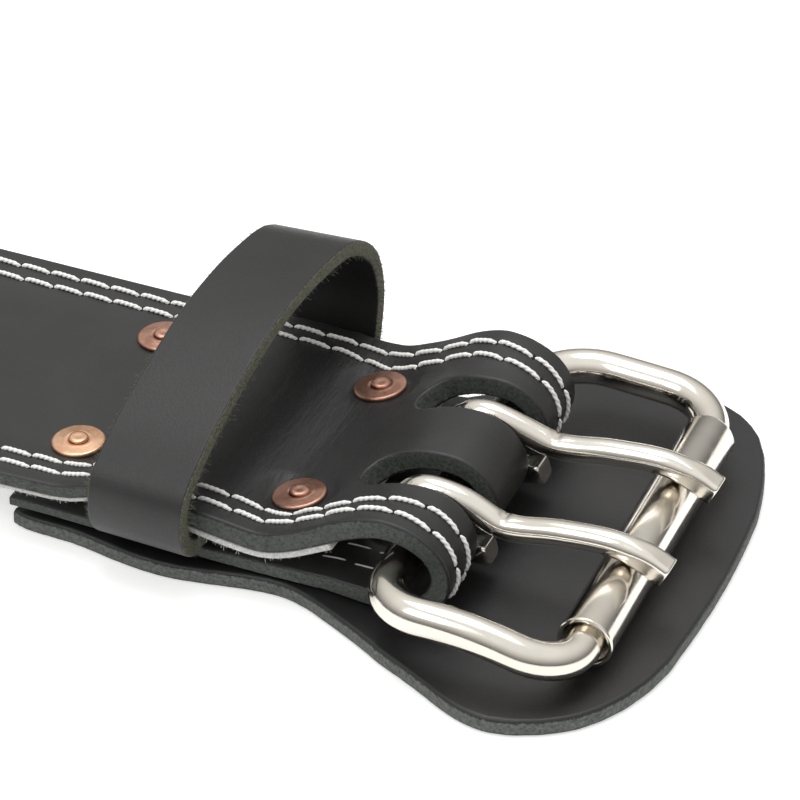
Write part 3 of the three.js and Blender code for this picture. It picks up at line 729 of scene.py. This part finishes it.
def make_frame():
    """The frame's wire, with painted shade on the back bar where the fold hides it: near-black steel for the
    shadow inside the fold.
    """
    ring = frame_ring()
    sides = 28
    ahead = unit(np.roll(ring, -1, 0) - np.roll(ring, 1, 0))
    across = unit(np.cross(ahead, (0, 0, 1)))
    points = rings_round(ring, across, np.cross(across, ahead), WIRE_RADIUS, sides)
    mesh = turned_out(mesh_from("frame_wire", points.reshape(-1, 3), ring_faces(len(ring), sides, True)))
    # Faces of the back bar inside the fold get near-black steel, painted shade for the shadow there
    in_fold_shade = np.abs(points.mean(1) - (0, BUCKLE_SHIFT, 0))[:, :2] < (PAINTED_SHADE_WIDTH, PAINTED_SHADE_REACH)
    for material in (steel, painted_shade_steel):
        mesh.materials.append(material)
    for face in mesh.polygons:
        face.material_index = int(in_fold_shade[min(face.vertices) // sides].all())
    return new_object("frame_wire", mesh, "frame", ["buckle_frame"])


def lathe(name, profile, sides, at, axis):
    """A profile of (radius, height) turned about an axis through a point."""
    basis = Vector(axis).normalized().to_track_quat("Z", "Y").to_matrix()
    points = []
    for r, h in profile:
        for k in range(sides):
            a = 2 * math.pi * k / sides
            v = basis @ Vector((r * math.cos(a), r * math.sin(a), h))
            points.append((at[0] + v.x, at[1] + v.y, at[2] + v.z))
    return turned_out(mesh_from(name, points, ring_faces(len(profile), sides)))


def make_roller():
    half = ROLLER_LENGTH / 2
    outer = ROLLER_RADIUS + ROLLER_SWELL
    inner = outer - ROLLER_WALL
    lip = 0.14
    profile = [
        (inner, -half), (outer - 0.12, -half), (outer, -half + 0.14), (outer, -half + 0.5),
        (outer - lip, -half + 1.3), (outer - lip, half - 0.5), (outer - lip - 0.2, half - 0.05),
        (inner, half), (inner, 0), (inner, -half),
    ]
    middle = front_bar(0)
    run = (-2 * FRONT_SKEW / FRAME_WIDTH, 1, 2 * FRONT_CANT / FRAME_WIDTH)
    mesh = lathe("roller_tube", profile, 72, (middle[0], BUCKLE_SHIFT, middle[1]), run)
    return new_object("roller_tube", mesh, "roller", ["roller"])


# A prong beyond its crease: along is a share of the way to the roller's top,
# past a share of the overhang, lift a share of the tip's droop
PRONG_ROWS = [(0, 0, -0.5), (0.5, 0, -0.08), (1, -0.15, 0.06), (1, 0.5, -0.36), (1, 1, -1)]


def prong_line(y, rise):
    """Middle line (x, z) of the prong at y, from its tail round the bar to its tip.

    It rises a little above a straight way between the hook and the crease.
    """
    front_x, front_z = front_bar(y - BUCKLE_SHIFT)
    reach = WIRE_RADIUS + GAP + PRONG_RADIUS
    over_roller = front_z + ROLLER_RADIUS + PRONG_RADIUS + GAP
    onward = np.array([
        (
            CREASE_REACH + (front_x - CREASE_REACH) * along + PRONG_OVERHANG * past,
            over_roller + PRONG_DROOP * lift,
        )
        for along, past, lift in PRONG_ROWS
    ])
    tail = np.array([TAIL_REACH, onward[0][1] - 2 * (PRONG_RADIUS + GAP)])
    bar = np.array([0, BAR_Z])

    def tangent(point, turn):
        away = point - bar
        return math.atan2(away[1], away[0]) + turn * math.acos(reach / np.hypot(*away))

    angles = np.linspace(tangent(tail, -1), tangent(onward[0], 1) - 2 * math.pi, 15)
    hook = bar + reach * np.stack([np.cos(angles), np.sin(angles)], axis=1)
    line = spline([tail, *hook, *onward], 230)
    before = (line[:, 1] > BAR_Z + 2) & (line[:, 0] > 0) & (line[:, 0] < CREASE_REACH)
    line[before, 1] += rise * np.sin(math.pi * line[before, 0] / CREASE_REACH) ** 2
    return line


def squared(angle, power):
    """A point of a rounded square, from a circle at power 2 towards a square."""
    c, s = math.cos(angle), math.sin(angle)
    size = (abs(c) ** power + abs(s) ** power) ** (-1 / power)
    return c * size, s * size


def make_prong(name, y, rise, body, node):
    """A prong's wire, flattened above at its crease, and squared off at both ends."""
    line = prong_line(y, rise)
    ahead = unit(np.gradient(line, axis=0))
    length = lengths_along(line)
    crease = length[np.argmin(np.abs(line[:, 0] - CREASE_REACH) + 9 * (line[:, 1] < BAR_Z + 2))]
    last = len(line) - 1
    rings = [(0, 0.8, -0.12), (0, 0.93, -0.06)]
    rings += [(i, 1.0, 0.0) for i in range(len(line))]
    rings += [(last, 0.95, 0.12), (last, 0.84, 0.2)]
    sides = 28
    points = []
    for i, size, onward in rings:
        tip = 1 - smoothstep((length[-1] - length[i]) / 9)
        tail = 1 - smoothstep((length[i] - 1) / 3)
        top = 1 - 0.3 * float(1 - smoothstep(abs(length[i] - crease) / 1.7)) - 0.12 * tip
        foot = -1 + 0.3 * tip + 0.4 * tail
        normal = np.array([-ahead[i, 1], ahead[i, 0]])
        for k in range(sides):
            c, s = squared(2 * math.pi * k / sides, 2 + 2.2 * max(tip, tail))
            up = PRONG_RADIUS * min(max(s, foot), top) * size
            p = line[i] + ahead[i] * onward + normal * up
            points.append((p[0], y + PRONG_RADIUS * c * size, p[1]))
    faces = ring_faces(len(rings), sides)
    faces.append(list(range(sides))[::-1])
    faces.append(list(range(len(points) - sides, len(points))))
    mesh = turned_out(mesh_from(name, points, faces))
    return weighted(new_object(name, mesh, body, [node]))


# Profiles (radius, height) of a burr lying on the leather, and of the rivet's
# end hammered over it
BURR_PROFILE = [
    (1.7, 0.0), (1.7, 0.8), (1.95, 0.98), (2.75, 1.02), (3.05, 0.88), (4.5, 0.8), (4.8, 0.7),
    (BURR_RADIUS, 0.5), (BURR_RADIUS, 0.12), (4.8, 0.0), (1.7, 0.0),
]
RIVET_END = [(1.6, 0.3), (1.72, 1.0), (1.85, 1.16), (1.72, 1.42), (1.25, 1.56), (0.6, 1.5), (0.0, 1.42)]


def make_rivet(number, x, y, aside):
    """A burr, lying a little aside of its rivet, and the rivet."""
    height, slope = burr_seat(x)
    mesh = lathe("burr", BURR_PROFILE, 48, (x + aside, y, height), (-slope, 0, 1))
    burr = new_object(f"burr_disc_{number}", mesh, "root", [f"burr_{number}"])
    base = GAP / 2
    head = base + HEAD_THICKNESS
    shank = [(0, base), (HEAD_RADIUS, base), (HEAD_RADIUS, head), (SHANK_RADIUS, head)]
    profile = shank + [(r, height + h) for r, h in RIVET_END]
    mesh = lathe("rivet", profile, 28, (x + aside, y, 0), (0, 0, 1))
    rivet = new_object(f"rivet_pin_{number}", mesh, "root", [f"rivet_{number}"])
    return [weighted(burr), rivet]


# Each seam's distance from the edge, how much more that is round the fold on the
# near and far side, and where the needle went in beside the buckle: (count, s)
SEAMS = {
    "outer": {
        "inset": OUTER_INSET,
        "spread": (-0.4, 0.9),
        "near": [(0, -79.6), (2, -67.3), (8, -27.6), (9, -20.8), (10, -14.4), (12, -2.0), (14, 10.6)],
        "far": [(0, -104.6), (5, -73.3), (12, -28.3), (14, -15.7), (16, -3.8), (18, 9.2)],
    },
    "inner": {
        "inset": INNER_INSET,
        "spread": (0.9, 1.3),
        "near": [(0, -81.1), (2, -68.8), (9, -23.2), (10, -16.5), (12, -4.4), (14, 7.9)],
        "far": [(0, -102.1), (4, -77.3), (12, -25.6), (14, -13.6), (16, -1.2), (18, 12.0)],
    },
}


def seam_path(inset, spread):
    """A row of stitches as (s, y): near tail of the return, fold, round the tongue, far tail."""
    back = np.arange(strap.s[-1] - 3, 1, -2.0)
    half = np.interp(back, [back_s(-2), back_s(-NARROW_TO)], [STRAP_WIDTH / 2, RETURN_WIDTH / 2])
    inwards = inset + RETURN_INSET * smoothstep((back - NARROW_TO) / 8)
    near = np.stack([back, inwards - half], axis=1)
    edge = edge_line(inset, -0.6)
    run = np.stack([run_s(edge[:, 0]), edge[:, 1]], axis=1)
    path = np.concatenate([near, run, near[::-1] * (1, -1)])
    more = np.where(path[:, 1] < 0, spread[0], -spread[1])
    path[:, 1] += more * smoothstep((path[:, 0] + 8) / FOLD_FADE)
    return path


def needle_places(path, near, far):
    """Lengths along the path at which the needle went in, and those lengths' scale."""
    length = lengths_along(path)
    tip = np.argmin(path[:, 0])
    near_count, near_s = np.array(near).T
    far_count, far_s = np.array(far).T
    near_at = np.interp(-near_s, -path[:tip, 0], length[:tip])
    far_at = np.interp(far_s, path[tip:, 0], length[tip:])
    near_holes = np.interp(np.arange(near_count[-1] + 1), near_count, near_at)
    far_holes = np.interp(np.arange(far_count[-1] + 1), far_count, far_at)
    middle = np.linspace(near_at[0], far_at[0], round((far_at[0] - near_at[0]) / STITCH_PITCH) + 1)
    start = np.arange(near_at[-1] - STITCH_PITCH, 1, -STITCH_PITCH)
    end = np.arange(far_at[-1] + STITCH_PITCH, length[-1] - 1, STITCH_PITCH)
    return np.concatenate([start[::-1], near_holes[::-1], middle[1:-1], far_holes, end]), length


def thread_mesh(name, centres, above, plies, radius, spread, turns, sides):
    """Twisted threads along centres, an array (threads, samples, 3) in millimetres."""
    count, samples = centres.shape[:2]
    ahead = unit(np.gradient(centres, axis=1))
    across = unit(np.cross(ahead, above))
    above = np.cross(across, ahead)
    u = np.linspace(0, 1, samples)
    points = []
    for ply in range(plies):
        twist = 2 * math.pi * (turns * u + ply / plies)
        aside = across * np.cos(twist)[:, None] + above * np.sin(twist)[:, None]
        points.append(rings_round(centres + spread * aside, across, above, radius, sides))
    points = np.array(points).reshape(-1, 3)
    start = np.arange(plies * count)[:, None, None] * samples * sides
    i = np.arange(samples - 1)[None, :, None] * sides
    k = np.arange(sides)[None, None, :]
    after = (k + 1) % sides
    near, far = start + i, start + i + sides
    faces = np.stack([near + k, near + after, far + after, far + k], axis=-1)
    return mesh_from(name, points, faces.reshape(-1, 4).tolist())


def along_path(path, length, at):
    """Points (s, y) at lengths along the path."""
    return np.stack([np.interp(at, length, path[:, 0]), np.interp(at, length, path[:, 1])], axis=-1)


def stitches(name, path, length, starts, ends, height, arch, samples, plies, radius, spread, turns, sides):
    """One thread from each start to its end on the strap's face at height (s, side)."""
    u = np.linspace(0, 1, samples)
    at = starts[:, None] + (ends - starts)[:, None] * (0.03 + 0.94 * u)
    flat = along_path(path, length, at)
    sense = np.sign(np.gradient(flat[:, :, 0], axis=1))
    flat[:, :, 1] += STITCH_SLANT * sense * (1 - 2 * u)
    face, outward = height(flat[:, :, 0])
    dive = 1 - np.abs(2 * u - 1) ** 7
    lift = outward * (arch[0] + (arch[1] - arch[0]) * dive) / STRAP_THICKNESS
    pattern = np.concatenate([flat, (face + lift)[:, :, None]], axis=2)
    centres = on_strap(pattern.reshape(-1, 3)).reshape(pattern.shape)
    raised = on_strap((pattern + (0, 0, 0.05)).reshape(-1, 3)).reshape(pattern.shape)
    above = unit(raised - centres)
    return thread_mesh(name, centres, above, plies, radius, spread, turns, sides)


def upper_face(s):
    """Share of the thickness of the strap's upper face, and which way is out."""
    return np.full(s.shape, 0.5), 1.0


def lower_face(s):
    """The lining's lower face, or the strap's own where the lining has ended."""
    lining = LINING_MIDDLE - LINING_THICKNESS / 2 / STRAP_THICKNESS
    return np.where(s < run_s(-LINING_END), lining, -0.5), -1.0


def needle_hole_shades(name, path, length, places):
    """A small near-black slit on the leather at each place the needle went in: painted shade standing for
    the dark inside of the hole.
    """
    sides = 10
    centre = along_path(path, length, places)
    ahead = unit(along_path(path, length, places + 0.5) - along_path(path, length, places - 0.5))
    aside = np.stack([-ahead[:, 1], ahead[:, 0]], axis=1)
    flat = rings_round(centre, 0.34 * ahead, 0.75 * aside, 1, sides)
    height = np.full(flat.shape[:2] + (1,), 0.5 + 0.03 / STRAP_THICKNESS)
    points = on_strap(np.concatenate([flat, height], axis=2).reshape(-1, 3))
    faces = np.arange(len(points)).reshape(-1, sides)
    return mesh_from(name, points, faces.tolist())


def make_seams():
    """The rows of stitches above and below, and the painted shade of the needle holes."""
    made, hole_shades = [], []
    for name, seam in SEAMS.items():
        path = seam_path(seam["inset"], seam["spread"])
        places, length = needle_places(path, seam["near"], seam["far"])
        starts, ends = places[:-1], places[1:]
        middle = along_path(path, length, (starts + ends) / 2)[:, 0]
        by_buckle = middle > FINE_STITCHES_FROM
        rows = (
            ("buckle", by_buckle, upper_face, (-0.5, 0.3), (20, 2, 0.33, 0.13, 3.0, 8)),
            ("back", ~by_buckle, upper_face, (-0.5, 0.3), (12, 2, 0.33, 0.13, 3.0, 5)),
            ("below", (middle < -5) | (middle > 22), lower_face, (-0.5, 0.0), (6, 1, 0.2, 0.0, 0.0, 5)),
        )
        for part, kept, face, arch, twist in rows:
            seam_name = f"{name}_seam_{part}"
            made.append(stitches(seam_name, path, length, starts[kept], ends[kept], face, arch, *twist))
        # Each needle hole gets a flat near-black slit, painted shade for the hole's inside
        hole_shades.append(needle_hole_shades(f"{name}_seam_hole_shades", path, length, places))
    return [[new_object(mesh.name, mesh, "root") for mesh in group] for group in (made, hole_shades)]


def fuzz(name, roots, tips, seed):
    """Loose fibres from roots to tips, each bent a little its own way."""
    rng = np.random.default_rng(seed)
    u = np.linspace(0, 1, 4)[None, :, None]
    reach = np.linalg.norm(tips - roots, axis=1)[:, None, None]
    bent = rng.normal(0, 0.35, (len(roots), 1, 3)) * reach * u * u
    centres = roots[:, None] + (tips - roots)[:, None] * u + bent
    above = np.broadcast_to(np.array([0.31, 0.22, 0.92]), centres.shape)
    return thread_mesh(name, centres, above, 1, FIBRE_RADIUS, 0.0, 0.0, 3)


def loop_fuzz():
    rng = np.random.default_rng(11)
    outer, inward = loop_ring(1500)
    count = 4200
    place = rng.integers(0, len(outer), count)
    side = rng.choice([-1.0, 1.0], count)
    depth = rng.uniform(0.15, LOOP_THICKNESS - 0.05, count)
    out = np.minimum(rng.gamma(2.0, 0.15, count), 0.9)
    roots, tips = [], []
    for i, s, d, r in zip(place, side, depth, out):
        p = outer[i] + inward[i] * d
        lean = inward[i] * (rng.normal(0, 0.3) + 1.1 * (d > 0.6 * LOOP_THICKNESS)) * r
        roots.append(on_loop(p, s * (LOOP_WIDTH / 2 - 0.1)))
        tips.append(on_loop(p + lean, s * (LOOP_WIDTH / 2 + r)))
    return fuzz("loop_fibres", np.array(roots), np.array(tips), 12)


def lining_fuzz(name, along, count, seed):
    """Fibres standing out of the lining's long edges between two places."""
    rng = np.random.default_rng(seed)
    s = rng.uniform(run_s(along[0]), run_s(along[1]), count)
    side = rng.choice([-1.0, 1.0], count)
    half = half_width(np.interp(s, strap.s, strap.x))
    h = rng.uniform(LINING_MIDDLE - NAP_REACH, LINING_MIDDLE + NAP_REACH, count)
    root = np.stack([s, side * (half - 0.12), h], axis=1)
    out = np.minimum(rng.gamma(2.0, NAP_REACH / 2, count), 5 * NAP_REACH)
    tip = root + np.stack([rng.normal(0, 0.3, count) * out, side * out, rng.normal(0, 0.08, count)], axis=1)
    return fuzz(name, on_strap(root), on_strap(tip), seed + 1)


def slot_fuzz():
    rng = np.random.default_rng(31)
    first, last = run_s(-SLOT_REACH), back_s(-SLOT_REACH)
    roots, tips = [], []
    for side in (-1, 1):
        middle = side * PRONG_SIDE + SLOT_SHIFT
        rim = stadium(first, last, middle, SLOT_WIDTH / 2, 200)
        for _ in range(900):
            p = rim[rng.integers(0, len(rim))]
            s = rng.uniform(first, last) if rng.random() < 0.6 else p[0]
            y = middle + math.copysign(SLOT_WIDTH / 2, p[1] - middle) if s != p[0] else p[1]
            h = rng.uniform(-0.48, 0.46)
            into = 0.55 * rng.gamma(2.0, 0.5)
            roots.append((s, y, h))
            across = math.copysign(min(into, 1.4), y - middle)
            tips.append((s + rng.normal(0, 0.2), y - across, h + rng.normal(0, 0.04)))
    return fuzz("slot_fibres", on_strap(np.array(roots)), on_strap(np.array(tips)), 32)


class Shader:
    """A material's node tree, with short ways to add nodes and to link them."""

    def __init__(self, name, color, roughness, metallic=0.0):
        self.material = bpy.data.materials.new(name)
        self.material.use_nodes = True
        self.nodes = self.material.node_tree.nodes
        self.links = self.material.node_tree.links
        self.surface = self.nodes["Principled BSDF"]
        self.set(self.surface, {"Base Color": (*color, 1), "Roughness": roughness, "Metallic": metallic})

    def set(self, node, values):
        for name, value in values.items():
            if isinstance(value, bpy.types.NodeSocket):
                self.links.new(value, node.inputs[name])
            else:
                node.inputs[name].default_value = value

    def add(self, kind, values=None, **properties):
        node = self.nodes.new(f"ShaderNode{kind}")
        for name, value in properties.items():
            setattr(node, name, value)
        self.set(node, values or {})
        return node

    def attribute(self, name, output):
        return self.add("Attribute", attribute_name=name).outputs[output]

    def noise(self, vector, scale, detail, roughness, stretch=(1, 1, 1)):
        placed = self.add("Mapping", {"Vector": vector, "Scale": stretch})
        return self.add("TexNoise", {
            "Vector": placed.outputs[0], "Scale": scale, "Detail": detail, "Roughness": roughness,
        }).outputs["Fac"]

    def span(self, value, low, high, to_low, to_high):
        return self.add("MapRange", {
            "Value": value, "From Min": low, "From Max": high, "To Min": to_low, "To Max": to_high,
        }).outputs["Result"]

    def sum(self, first, second, operation="ADD"):
        return self.add("Math", {0: first, 1: second}, operation=operation).outputs[0]

    def blend(self, factor, first, second):
        """A colour between two colours."""
        colors = [c if isinstance(c, bpy.types.NodeSocket) else (*c, 1) for c in (first, second)]
        return self.add("Mix", {0: factor, 6: colors[0], 7: colors[1]}, data_type="RGBA").outputs[2]

    def shades(self, value, limits, color, levels):
        """Darker and lighter shades of a colour, where a value lies between its limits."""
        dark, light = (tuple(level * c for c in color) for level in levels)
        return self.blend(self.span(value, *limits, 0, 1), dark, light)

    def bump(self, height, distance):
        bump = self.add("Bump", {"Height": height, "Distance": distance * MM})
        self.set(self.surface, {"Normal": bump.outputs["Normal"]})


def leather_material(name, face, cut, roughness, crease=0.0):
    """Black leather: fine grain on the faces, pale fibrous flesh on the cut edges."""
    shader = Shader(name, face, roughness)
    flat = shader.attribute("flat", "Vector")
    raw = shader.attribute("raw", "Fac")
    grain = shader.noise(flat, 2.4, 4.0, 0.6)
    cloud = shader.noise(flat, 0.045, 4.0, 0.6)
    fibre = shader.noise(flat, 1.5, 5.0, 0.75)
    face_color = shader.shades(cloud, (0.35, 0.65), face, (0.8, 1.22))
    cut_color = shader.shades(fibre, (0.3, 0.7), cut, (0.42, 1.9))
    worn = shader.sum(raw, shader.span(fibre, 0.35, 0.65, -0.35, 0.35))
    edge = shader.span(worn, 0.35, 0.75, 0, 1)
    shader.set(shader.surface, {
        "Base Color": shader.blend(edge, face_color, cut_color),
        "Roughness": shader.sum(
            shader.span(grain, 0.3, 0.7, roughness - 0.05, roughness + 0.07),
            shader.span(edge, 0, 1, 0, 0.35),
        ),
    })
    shader.surface.inputs["Specular IOR Level"].default_value = 0.5
    raised = shader.sum(shader.sum(fibre, edge, "MULTIPLY"), 3.2, "MULTIPLY")
    height = shader.sum(shader.span(grain, 0, 1, 0, 0.35), raised)
    if crease:
        wrinkle = shader.noise(flat, 1.0, 3.0, 0.6, (0.75, 0.14, 0.2))
        place = shader.add("SeparateXYZ", {"Vector": flat}).outputs["X"]
        near = shader.span(place, -46, -34, 0, 1)
        far = shader.span(place, -20, -8, 1, 0)
        amount = shader.sum(shader.sum(near, far, "MULTIPLY"), crease, "MULTIPLY")
        height = shader.sum(height, shader.sum(wrinkle, amount, "MULTIPLY"))
    shader.bump(height, 0.12)
    return shader.material


def suede_material():
    shader = Shader("suede", (0.62, 0.62, 0.6), 0.95)
    flat = shader.attribute("flat", "Vector")
    nap = shader.noise(flat, 1.8, 5.0, 0.7)
    shader.set(shader.surface, {
        "Base Color": shader.blend(shader.span(nap, 0.3, 0.7, 0, 1), (0.42, 0.42, 0.4), (0.78, 0.78, 0.76)),
    })
    shader.bump(nap, 0.35)
    return shader.material


def metal_material(name, color, deep, roughness, scale, relief):
    """Metal with faint clouds in its colour and polish."""
    shader = Shader(name, color, roughness, 1.0)
    place = shader.add("TexCoord").outputs["Object"]
    cloud = shader.noise(place, scale / MM, 4.0, 0.6)
    fine = shader.noise(place, 5 * scale / MM, 3.0, 0.6)
    shader.set(shader.surface, {
        "Base Color": shader.blend(shader.span(cloud, 0.4, 0.62, 0, 1), deep, color),
        "Roughness": shader.span(fine, 0.3, 0.7, roughness - 0.03, roughness + 0.06),
    })
    shader.bump(cloud, relief)
    return shader.material


leather = leather_material("leather", (0.016, 0.0155, 0.0155), (0.052, 0.059, 0.052), 0.45, crease=1.6)
pad_leather = leather_material("pad_leather", (0.013, 0.0125, 0.013), (0.088, 0.096, 0.087), 0.43)
loop_leather = leather_material("loop_leather", (0.012, 0.0118, 0.0116), (0.095, 0.096, 0.068), 0.45)
suede = suede_material()
steel = metal_material("steel", (0.80, 0.76, 0.69), (0.72, 0.68, 0.61), 0.13, 0.05, 0.06)
# Near-black steel: painted shade on the back bar inside the fold
painted_shade_steel = metal_material("painted_shade_steel", (0.05, 0.048, 0.045), (0.04, 0.038, 0.036), 0.5, 0.05, 0.06)
bright_copper = metal_material("bright_copper", (0.80, 0.50, 0.33), (0.62, 0.36, 0.22), 0.36, 0.25, 0.1)
brown_copper = metal_material("brown_copper", (0.54, 0.31, 0.23), (0.36, 0.19, 0.14), 0.38, 0.25, 0.1)
thread = Shader("thread", (0.86, 0.86, 0.84), 0.8).material
# Near-black: painted shade for the inside of the needle holes
needle_hole_shade = Shader("needle_hole_shade", (0.004, 0.004, 0.004), 0.95).material
pale_fibre = Shader("pale_fibre", (0.6, 0.6, 0.58), 0.9).material
olive_fibre = Shader("olive_fibre", (0.12, 0.125, 0.09), 0.9).material
dark_fibre = Shader("dark_fibre", (0.03, 0.036, 0.032), 0.95).material


def dress(obj, material):
    obj.data.materials.append(material)


dress(make_strap(), leather)
dress(make_lining(), suede)
dress(make_pad(), pad_leather)
dress(make_loop(), loop_leather)
make_frame()
dress(make_roller(), steel)
dress(make_prong("prong_near", NEAR_PRONG_Y, 0.9, "near_prong", "prong_1"), steel)
dress(make_prong("prong_far", FAR_PRONG_Y, 0.3, "far_prong", "prong_2"), steel)
for number, (x, y) in enumerate(RIVETS, 1):
    for piece in make_rivet(number, x, y, 0.35 if number == 3 else 0.0):
        dress(piece, bright_copper if number == 3 else brown_copper)
seams, hole_shades = make_seams()
for seam in seams:
    dress(seam, thread)
for hole_shade in hole_shades:
    dress(hole_shade, needle_hole_shade)
dress(new_object("loop_fibres", loop_fuzz(), "root"), olive_fibre)
dress(new_object("slot_fibres", slot_fuzz(), "root"), dark_fibre)
for row in (
    ("lining_fibres", (-150, -LINING_END - 0.3), 2600, 41),
    ("lining_back_fibres", (-1000, -150), 3000, 43),
):
    dress(new_object(row[0], lining_fuzz(*row), "root"), pale_fibre)


def make_floor():
    size = 6.0
    mesh = bpy.data.meshes.new("floor")
    corners = [(x * size, y * size, 0) for x, y in ((-1, -1), (1, -1), (1, 1), (-1, 1))]
    mesh.from_pydata(corners, [], [(0, 1, 2, 3)])
    obj = bpy.data.objects.new("floor", mesh)
    bpy.context.scene.collection.objects.link(obj)
    shader = Shader("floor", (0.8, 0.8, 0.8), 0.9)
    shader.set(shader.surface, {"Emission Color": (1, 1, 1, 1), "Emission Strength": 0.45})
    mesh.materials.append(shader.material)


# Brightness of the studio by the height of the direction, its sine
STUDIO = [(0.0, 0.1), (0.2, 0.3), (0.42, 0.62), (0.62, 0.85), (0.85, 1.1), (1.0, 1.3)]


def make_studio():
    world = bpy.data.worlds.new("studio")
    bpy.context.scene.world = world
    world.use_nodes = True
    nodes, links = world.node_tree.nodes, world.node_tree.links
    parts = nodes.new("ShaderNodeSeparateXYZ")
    links.new(nodes.new("ShaderNodeTexCoord").outputs["Generated"], parts.inputs[0])
    ramp = nodes.new("ShaderNodeValToRGB")
    ramp.color_ramp.interpolation = "B_SPLINE"
    stops = ramp.color_ramp.elements
    while len(stops) < len(STUDIO):
        stops.new(0.5)
    for stop, (place, level) in zip(stops, STUDIO):
        stop.position = place
        stop.color = (level, level * 0.985, level * 0.96, 1)
    links.new(parts.outputs["Z"], ramp.inputs[0])
    links.new(ramp.outputs[0], nodes["Background"].inputs["Color"])


LIT_POINT = Vector((0.48, 0, 0))


def add_lamp(name, at, size, energy):
    """A soft square light, turned to the buckle."""
    light = bpy.data.lights.new(name, "AREA")
    light.energy = energy
    light.size = size
    lamp = bpy.data.objects.new(name, light)
    lamp.location = at
    lamp.rotation_euler = (LIT_POINT - lamp.location).to_track_quat("-Z", "Y").to_euler()
    bpy.context.scene.collection.objects.link(lamp)


def make_camera():
    data = bpy.data.cameras.new("camera")
    data.lens = CAMERA_LENS
    obj = bpy.data.objects.new("camera", data)
    a, e = math.radians(CAMERA_AZIMUTH), math.radians(CAMERA_ELEVATION)
    back = Vector((math.sin(a) * math.cos(e), -math.cos(a) * math.cos(e), math.sin(e)))
    obj.location = Vector((ORIGIN + CAMERA_FROM_BAR) * MM)
    obj.rotation_euler = (-back).to_track_quat("-Z", "Y").to_euler()
    bpy.context.scene.collection.objects.link(obj)
    bpy.context.scene.camera = obj


make_floor()
make_studio()
add_lamp("overhead", (0.3, 0.25, 1.3), 0.7, 7)
add_lamp("front", (0.05, -0.75, 1.0), 0.6, 3)
make_camera()
bpy.context.scene.view_settings.view_transform = "Standard"
